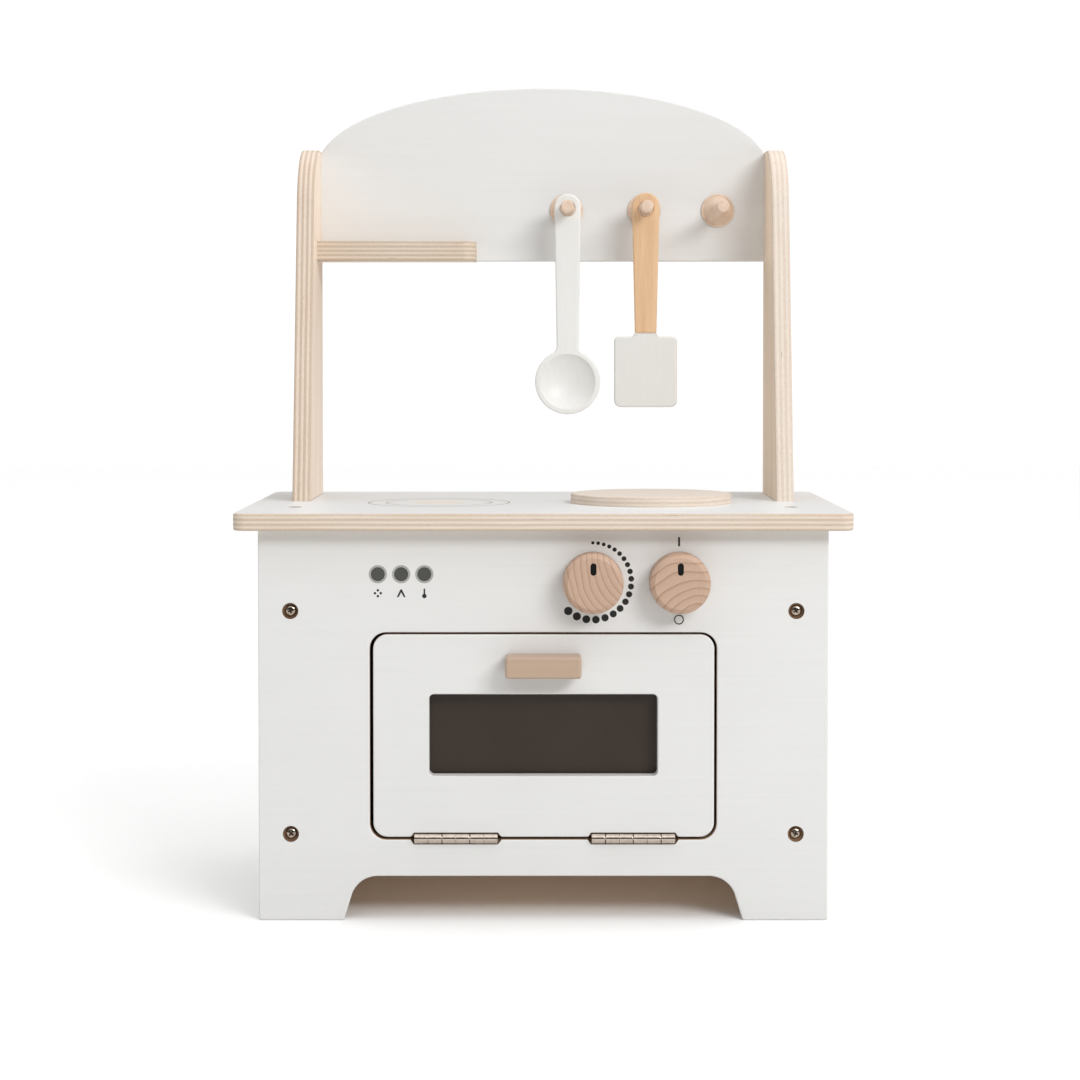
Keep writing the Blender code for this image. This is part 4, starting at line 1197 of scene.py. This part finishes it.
# %% Hinge halves and pins
def hinge_half(side, owner, first, body):
    node = f"{side}_hinge_{owner}_leaf"
    low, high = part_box(node)
    at = middle(side + "_hinge_pin")
    left, right = BARREL_ENDS[side]
    length = (right - left - (KNUCKLES - 1) * KNUCKLE_GAP) / KNUCKLES
    level = at.z + (LEAF_OFFSET if owner == "door" else -LEAF_OFFSET)
    meshes = []
    for k in range(first, KNUCKLES, 2):
        start = left + k * (length + KNUCKLE_GAP)
        ends = [CHAMFERS["wide" if joint in WIDE_JOINTS[side] else "fine"]
                for joint in (k, k + 1)]
        meshes.append(knuckle(start - ends[0]["longer"], start + length + ends[1]["longer"],
                              at, ends[0]["cut"], ends[1]["cut"]))
        tab = rectangle(start + TAB["in"], start + length - TAB["in"], at.y + TAB["front"],
                        at.y + TAB["back"])
        meshes.append(slab([tab], level - TAB["half_t"], level + TAB["half_t"], 0, "up",
                           [NICKEL]))
    leaf = rectangle(low.x, high.x, at.y + LEAF_STARTS, high.y, 0.0010, 4)
    screws = [middle(f"{side}_hinge_{owner}_{end}_screw") for end in ("left", "right")]
    holes = [circle(screw_at.x, screw_at.y, LEAF_HOLE_R, 24)[::-1] for screw_at in screws]
    meshes.append(slab([leaf] + holes, level - LEAF_HALF_T, level + LEAF_HALF_T, 0.0001, "up",
                       [NICKEL], 2))
    return piece(f"{side}_hinge_{owner}_half", joined(meshes), body, "nickel_steel", node)


def hinge_pin(side):
    low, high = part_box(side + "_hinge_pin")
    at = (low + high) / 2
    length, radius = high.x - low.x, PIN_R
    dome = [(radius * math.sin(math.radians(a)), length - radius / 2 +
             radius / 2 * math.cos(math.radians(a))) for a in range(0, 91, 15)]
    foot = [(radius, length - height) for radius, height in reversed(dome)]
    mesh = turned(dome + foot, (low.x, at.y, at.z), "right", NICKEL, 28)
    return piece(side + "_steel_pin", mesh, "cabinet", "nickel_steel", side + "_hinge_pin")


for side in ("left", "right"):
    hinge_half(side, "cabinet", 0, "cabinet")
    hinge_half(side, "door", 1, "oven_door")
    hinge_pin(side)
print("hinge barrels are", 2000 * BARREL_R, "mm thick")

# %% [markdown]
# ## Screws
# Every screw that shows has a cross recess. The head is a turned dome or a flat countersunk
# disc, and the recess is cut by two crossed tapered blades. The dome is flatter on top than a
# half ball, as a pan head is, and a narrow step round it catches the light. The threads are
# hidden in the wood, so a plain shank stands for them.

# %% Cross recess
BLADE_WIDTHS = {"top": (1.0, 0.26), "bottom": (0.45, 0.16)}
SOCKET_DEPTH = 0.0013
SOCKET_ABOVE = 0.0006


def cross_cutter(size, depth):
    """Two crossed blades that narrow downwards, standing on z = 0."""
    blades = []
    for turn in (0, 90):
        work = bmesh.new()
        bmesh.ops.create_cube(work, size=1.0)
        for vert in work.verts:
            sunk = vert.co.z < 0
            wide, thin = BLADE_WIDTHS["bottom" if sunk else "top"]
            vert.co = (vert.co.x * size * wide, vert.co.y * size * thin,
                       -depth if sunk else SOCKET_ABOVE)
        # The blades leave the socket's faces in the darkened steel, which is painted shade.
        blades.append(as_mesh(work, "blade", Matrix.Rotation(math.radians(turn), 4, "Z"),
                              [SOCKET_SHADE]))
    return blades


print("a driver's socket is", round(1000 * SOCKET_DEPTH, 1), "mm deep")

# %% One screw
HEAD_T = 0.0022
SHANK_R = 0.0018
CONE_T = 0.0026


def domed_head(head_r):
    steps = [math.radians(10 * i) for i in range(1, 10)]
    dome = [(0.98 * head_r * math.sin(a) ** 0.7, HEAD_T * (0.25 + 0.75 * math.cos(a)))
            for a in steps]
    return [(0, HEAD_T)] + dome + [(head_r, 0.20 * HEAD_T), (head_r, 0), (SHANK_R, 0)]


def flat_head(head_r):
    return [(0, 0), (head_r - 0.0002, 0), (head_r, -0.0002), (SHANK_R, -CONE_T)]


def screw(name, node, body, seat, pointing, head_r, turn, flat=False):
    """A cross-head screw whose head sits at seat, domed on it or sunk flat in it."""
    low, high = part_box(node)
    top = 0.0 if flat else HEAD_T
    length = max(high - low) - top
    head = flat_head(head_r) if flat else domed_head(head_r)
    profile = head + [(SHANK_R, 2 * SHANK_R - length), (0, -length)]
    mesh = turned(profile, (0, 0, 0), "up", BRONZED, 48)
    blades = cross_cutter(1.15 * head_r, SOCKET_DEPTH)
    for blade_mesh in blades:
        blade_mesh.transform(Matrix.Translation((0, 0, top)))
    mesh = combined(mesh, blades)
    spin = Matrix.Rotation(math.radians(turn), 4, "Z")
    mesh.transform(Matrix.Translation(seat) @ POINTING[pointing] @ spin)
    return piece(name, mesh, body, "bronzed_steel", node)


print("a head is", round(1000 * HEAD_T, 1), "mm high")

# %% All the screws that show
PANEL_HEAD_R, TOP_HEAD_R, POST_HEAD_R = 0.0036, 0.0042, 0.0033
SCREW_TURNS = {"left_upper": 18, "left_lower": 52, "right_upper": 33, "right_lower": 71}
for key, turn in SCREW_TURNS.items():
    at = middle(key + "_front_screw")
    screw(key + "_panel_screw", key + "_front_screw", "cabinet",
          (at.x, panel_low.y + RECESS["depth"], at.z), "forward", PANEL_HEAD_R, turn)
for side, turn in (("left", 12), ("right", 64)):
    at = middle(side + "_worktop_screw")
    screw(side + "_top_screw", side + "_worktop_screw", "cabinet",
          (at.x, at.y, top_high.z - 0.0002), "up", TOP_HEAD_R, turn, flat=True)
    at = middle(side + "_handle_screw")
    back_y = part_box(side + "_handle_screw")[1].y
    screw(side + "_grip_screw", side + "_handle_screw", "oven_door",
          (at.x, back_y - HEAD_T, at.z), "back", PANEL_HEAD_R, turn + 20)
for name, side in BOARD_SCREWS.items():
    low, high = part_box(name)
    at = (low + high) / 2
    head_x = low.x + HEAD_T if side == "left" else high.x - HEAD_T
    screw(name.replace("_screw", "_bolt"), name, "cabinet", (head_x, at.y, at.z), side,
          POST_HEAD_R, 40)
print("screws that show:", len(SCREW_TURNS) + 4 + len(BOARD_SCREWS))

# %% [markdown]
# ## Inside the oven
# Behind the door's top edge a birch batten stops the door, and a small ferrite magnet in it
# holds a steel plate in the door. Each knob's screw comes through a washer. These nodes have
# the right shape already, so they keep it and get a finish.

# %% Finishes for the hidden pieces
BATTEN_FACE = birch_face("batten_face", "X", colour(228, 205, 176), colour(208, 181, 150))
DOWEL_BEECH = beech_long("dowel_beech", "Z", colour(222, 192, 166), colour(204, 169, 140))
STEEL_DISC = metal("steel_disc", colour(200, 200, 200), colour(160, 160, 162), "X", 0.3)
HIDDEN = {"door_stop_batten": BATTEN_FACE, "catch_magnet": FERRITE,
          "catch_strike_plate": STEEL_DISC}
for name, node in nodes.items():
    if name.endswith("dowel"):
        HIDDEN[name] = DOWEL_BEECH
    elif name.endswith(("washer", "knob_screw", "left_screw", "right_screw")) \
            and not node.hide_render:
        HIDDEN[name] = NICKEL
for name, finish in HIDDEN.items():
    nodes[name].data.materials.clear()
    nodes[name].data.materials.append(finish)
print("hidden pieces finished:", len(HIDDEN))

# %% [markdown]
# ## Printed signs
# The front panel has four groups of print: three round lights with a sign under each, a
# scale of dots round the left knob that grow with the heat, and a line and a ring, the
# plain signs for on and off, above and below the right knob. Ink is a layer with hardly any
# height, so each group is a very thin board.

# %% Signs on the front panel
PRINT_LEVEL = -panel_low.y
LIGHT_XS = (-0.1000, -0.0859, -0.0719)
LIGHT_Z = 0.2105
LIGHT_RING = {"radius": 0.0055, "width": 0.0011}
LIGHT_DISC_R = 0.0043
SIGN_Z = 0.1990
FOUR_DOTS = {"radius": 0.00075, "out": 0.00175}
left_knob, right_knob = middle("left_knob"), middle("right_knob")


def front_print(name, loops, finish):
    return print_flat(name, loops, PRINT_LEVEL, "front", finish)


for number, x in enumerate(LIGHT_XS, 1):
    ring = ring_loops(x, LIGHT_Z, LIGHT_RING["radius"], LIGHT_RING["width"], 72)
    front_print(f"light_ring_{number}", ring, RING_INK)
    front_print(f"light_disc_{number}", [circle(x, LIGHT_Z, LIGHT_DISC_R, 72)], GREY_INK)

out = FOUR_DOTS["out"]
four_dots = [circle(LIGHT_XS[0] + u, SIGN_Z + v, FOUR_DOTS["radius"], 24)
             for u, v in ((out, 0), (0, out), (-out, 0), (0, -out))]
front_print("four_dot_sign", four_dots, BLACK_INK)

CHEVRON = {"half": 0.0027, "tall": 0.0048, "stroke": 0.0011}
low_z, rise = SIGN_Z - CHEVRON["tall"] / 2, CHEVRON["tall"]
x, half, stroke = LIGHT_XS[1], CHEVRON["half"], CHEVRON["stroke"]
front_print("chevron_sign", [[(x - half, low_z), (x - half + stroke, low_z),
                              (x, low_z + rise - 1.7 * stroke),
                              (x + half - stroke, low_z), (x + half, low_z),
                              (x + stroke / 3, low_z + rise),
                              (x - stroke / 3, low_z + rise)]], BLACK_INK)

BULB_R, STEM_HALF = 0.00135, 0.00048
BULB_Z, STEM_TOP_Z = SIGN_Z - 0.0017, SIGN_Z + 0.0024
opened = math.degrees(math.asin(STEM_HALF / BULB_R))
thermometer = arc(LIGHT_XS[2], BULB_Z, BULB_R, 90 + opened, 450 - opened, 28)
thermometer += arc(LIGHT_XS[2], STEM_TOP_Z, STEM_HALF, 0, 180, 10)
front_print("thermometer_sign", [thermometer], BLACK_INK)
print("round lights:", len(LIGHT_XS), "with a sign under each")

# %% Heat scale and switch signs
DOTS = 20
SCALE_R = 0.0233
FIRST_STEP, LAST_STEP = 8.0, 15.5
SMALLEST, LARGEST = 0.0010, 0.00255
ON_LINE = {"half": 0.0006, "from": 0.0212, "to": 0.0268}
OFF_RING = {"down": 0.0232, "radius": 0.0030, "width": 0.0007}
scale_dots, turn = [], 0.0
for i in range(DOTS):
    share = i / (DOTS - 1)
    angle = math.radians(90 - turn)
    scale_dots.append(circle(left_knob.x + SCALE_R * math.cos(angle),
                             left_knob.z + SCALE_R * math.sin(angle),
                             SMALLEST + (LARGEST - SMALLEST) * share, 32))
    turn += FIRST_STEP + (LAST_STEP - FIRST_STEP) * share
front_print("heat_scale", scale_dots, BLACK_INK)
line = rectangle(right_knob.x - ON_LINE["half"], right_knob.x + ON_LINE["half"],
                 right_knob.z + ON_LINE["from"], right_knob.z + ON_LINE["to"], 0.0002, 3)
front_print("on_line", [line], BLACK_INK)
ring = ring_loops(right_knob.x, right_knob.z - OFF_RING["down"], OFF_RING["radius"],
                  OFF_RING["width"], 64)
front_print("off_ring", ring, BLACK_INK)
print("heat scale ends", round(turn - LAST_STEP), "degrees round the knob")

# %% [markdown]
# ## Paper
# The toy stands on a wide sheet of white paper. The paper is lit until it is pure white. It
# throws a little less light back on to the toy than its whiteness asks for, since a real
# sheet ends not far from the toy.

# %% Floor
FLOOR_BOUNCE = colour(220, 219, 217)
PAPER_HALF = 6.0


def paper():
    finish, tree, shader = new_finish("white_paper", Roughness=0.9)
    fibre = noise(tree, grain_space(tree), 4, 240)
    tone = ramp(tree, fibre, (0.3, colour(248, 248, 248)), (0.7, colour(251, 251, 251)))
    seen = add(tree, "LightPath", {}).outputs["Is Camera Ray"]
    tone = mix(tree, seen, FLOOR_BOUNCE, tone)
    tree.links.new(tone, shader.inputs["Base Color"])
    relief(tree, shader, fibre, 0.00003, 0.2)
    return finish


work = bmesh.new()
bmesh.ops.create_grid(work, x_segments=8, y_segments=8, size=PAPER_HALF)
floor = bpy.data.objects.new("paper_floor", as_mesh(work, "paper_floor", Matrix.Identity(4),
                                                    [paper()]))
if floor.data.polygons[0].normal.z < 0:
    floor.data.flip_normals()
bpy.context.scene.collection.objects.link(floor)
print("paper is", 2 * PAPER_HALF, "m wide")

# %% [markdown]
# ## Light
# The key light is a large soft panel, wider than it is tall. It stands well back, in front
# and to the upper right, so that shadows fall to the lower left with wide edges. A small warm
# lamp under the cabinet stands for the light that goes back and forth between the paper and
# the bare wood there.

# %% Lamps
KEY_WATTS = 55.0
KEY_WIDTH, KEY_HEIGHT = 2.0, 0.9
KEY_AT = Vector((1.70, -2.65, 1.84))
AIM = Vector((0.0, -0.10, 0.30))
UNDER_WATTS = 0.012
UNDER_WIDTH, UNDER_DEPTH = 0.27, 0.17
UNDER_AT = (0.0, 0.0, 0.025)
UNDER_COLOUR = (1.0, 0.74, 0.58)


def area_lamp(name, shape, width, height, watts, location):
    data = bpy.data.lights.new(name, "AREA")
    data.shape, data.energy = shape, watts
    data.size, data.size_y = width, height
    lamp = bpy.data.objects.new(name, data)
    lamp.location = location
    bpy.context.scene.collection.objects.link(lamp)
    return lamp


under = area_lamp("under_fill", "RECTANGLE", UNDER_WIDTH, UNDER_DEPTH, UNDER_WATTS, UNDER_AT)
under.data.color = UNDER_COLOUR
key = area_lamp("key", "ELLIPSE", KEY_WIDTH, KEY_HEIGHT, KEY_WATTS, KEY_AT)
key.rotation_mode = "QUATERNION"
key.rotation_quaternion = (KEY_AT - AIM).to_track_quat("Z", "Y")
print("key light is", round((KEY_AT - AIM).length, 1), "m away")

# %% [markdown]
# ## Room
# The room is a light tent: bright overhead, with two gentle glows from the sides, and dark
# near the horizon, which draws the dark line on the steel barrels. The camera sees the tent
# itself as plain white.

# %% Light tent
ROOM_LOW, ROOM_HIGH = 0.03, 1.38
RISE_FROM, RISE_TO = 0.35, 0.80
GLOWS = ((0.50, Vector((1.0, -0.05, 0.30))), (0.28, Vector((-1.0, 0.05, 0.20))))
SEEN_WHITE = 1.05

room = bpy.data.worlds.new("light_tent")
room.use_nodes = True
bpy.context.scene.world = room
tree = room.node_tree
background = tree.nodes["Background"]
direction = add(tree, "TexCoord", {}).outputs["Generated"]
height = add(tree, "SeparateXYZ", {0: direction}).outputs["Z"]
tent = spread(tree, height, RISE_FROM, RISE_TO, ROOM_LOW, ROOM_HIGH)
for glow, side_from in GLOWS:
    facing = add(tree, "VectorMath", {0: direction, 1: side_from.normalized()},
                 operation="DOT_PRODUCT").outputs["Value"]
    lobe = maths(tree, "POWER", maths(tree, "MAXIMUM", facing, 0.0), 2.0)
    tent = maths(tree, "ADD", tent, maths(tree, "MULTIPLY", lobe, glow))
seen = add(tree, "LightPath", {}).outputs["Is Camera Ray"]
strength = add(tree, "Mix", {0: seen, 2: tent, 3: SEEN_WHITE}, data_type="FLOAT").outputs[0]
tree.links.new(strength, background.inputs["Strength"])
background.inputs["Color"].default_value = (1, 1, 1, 1)
print("tent's brightness:", ROOM_LOW, "at the horizon,", ROOM_HIGH, "overhead")
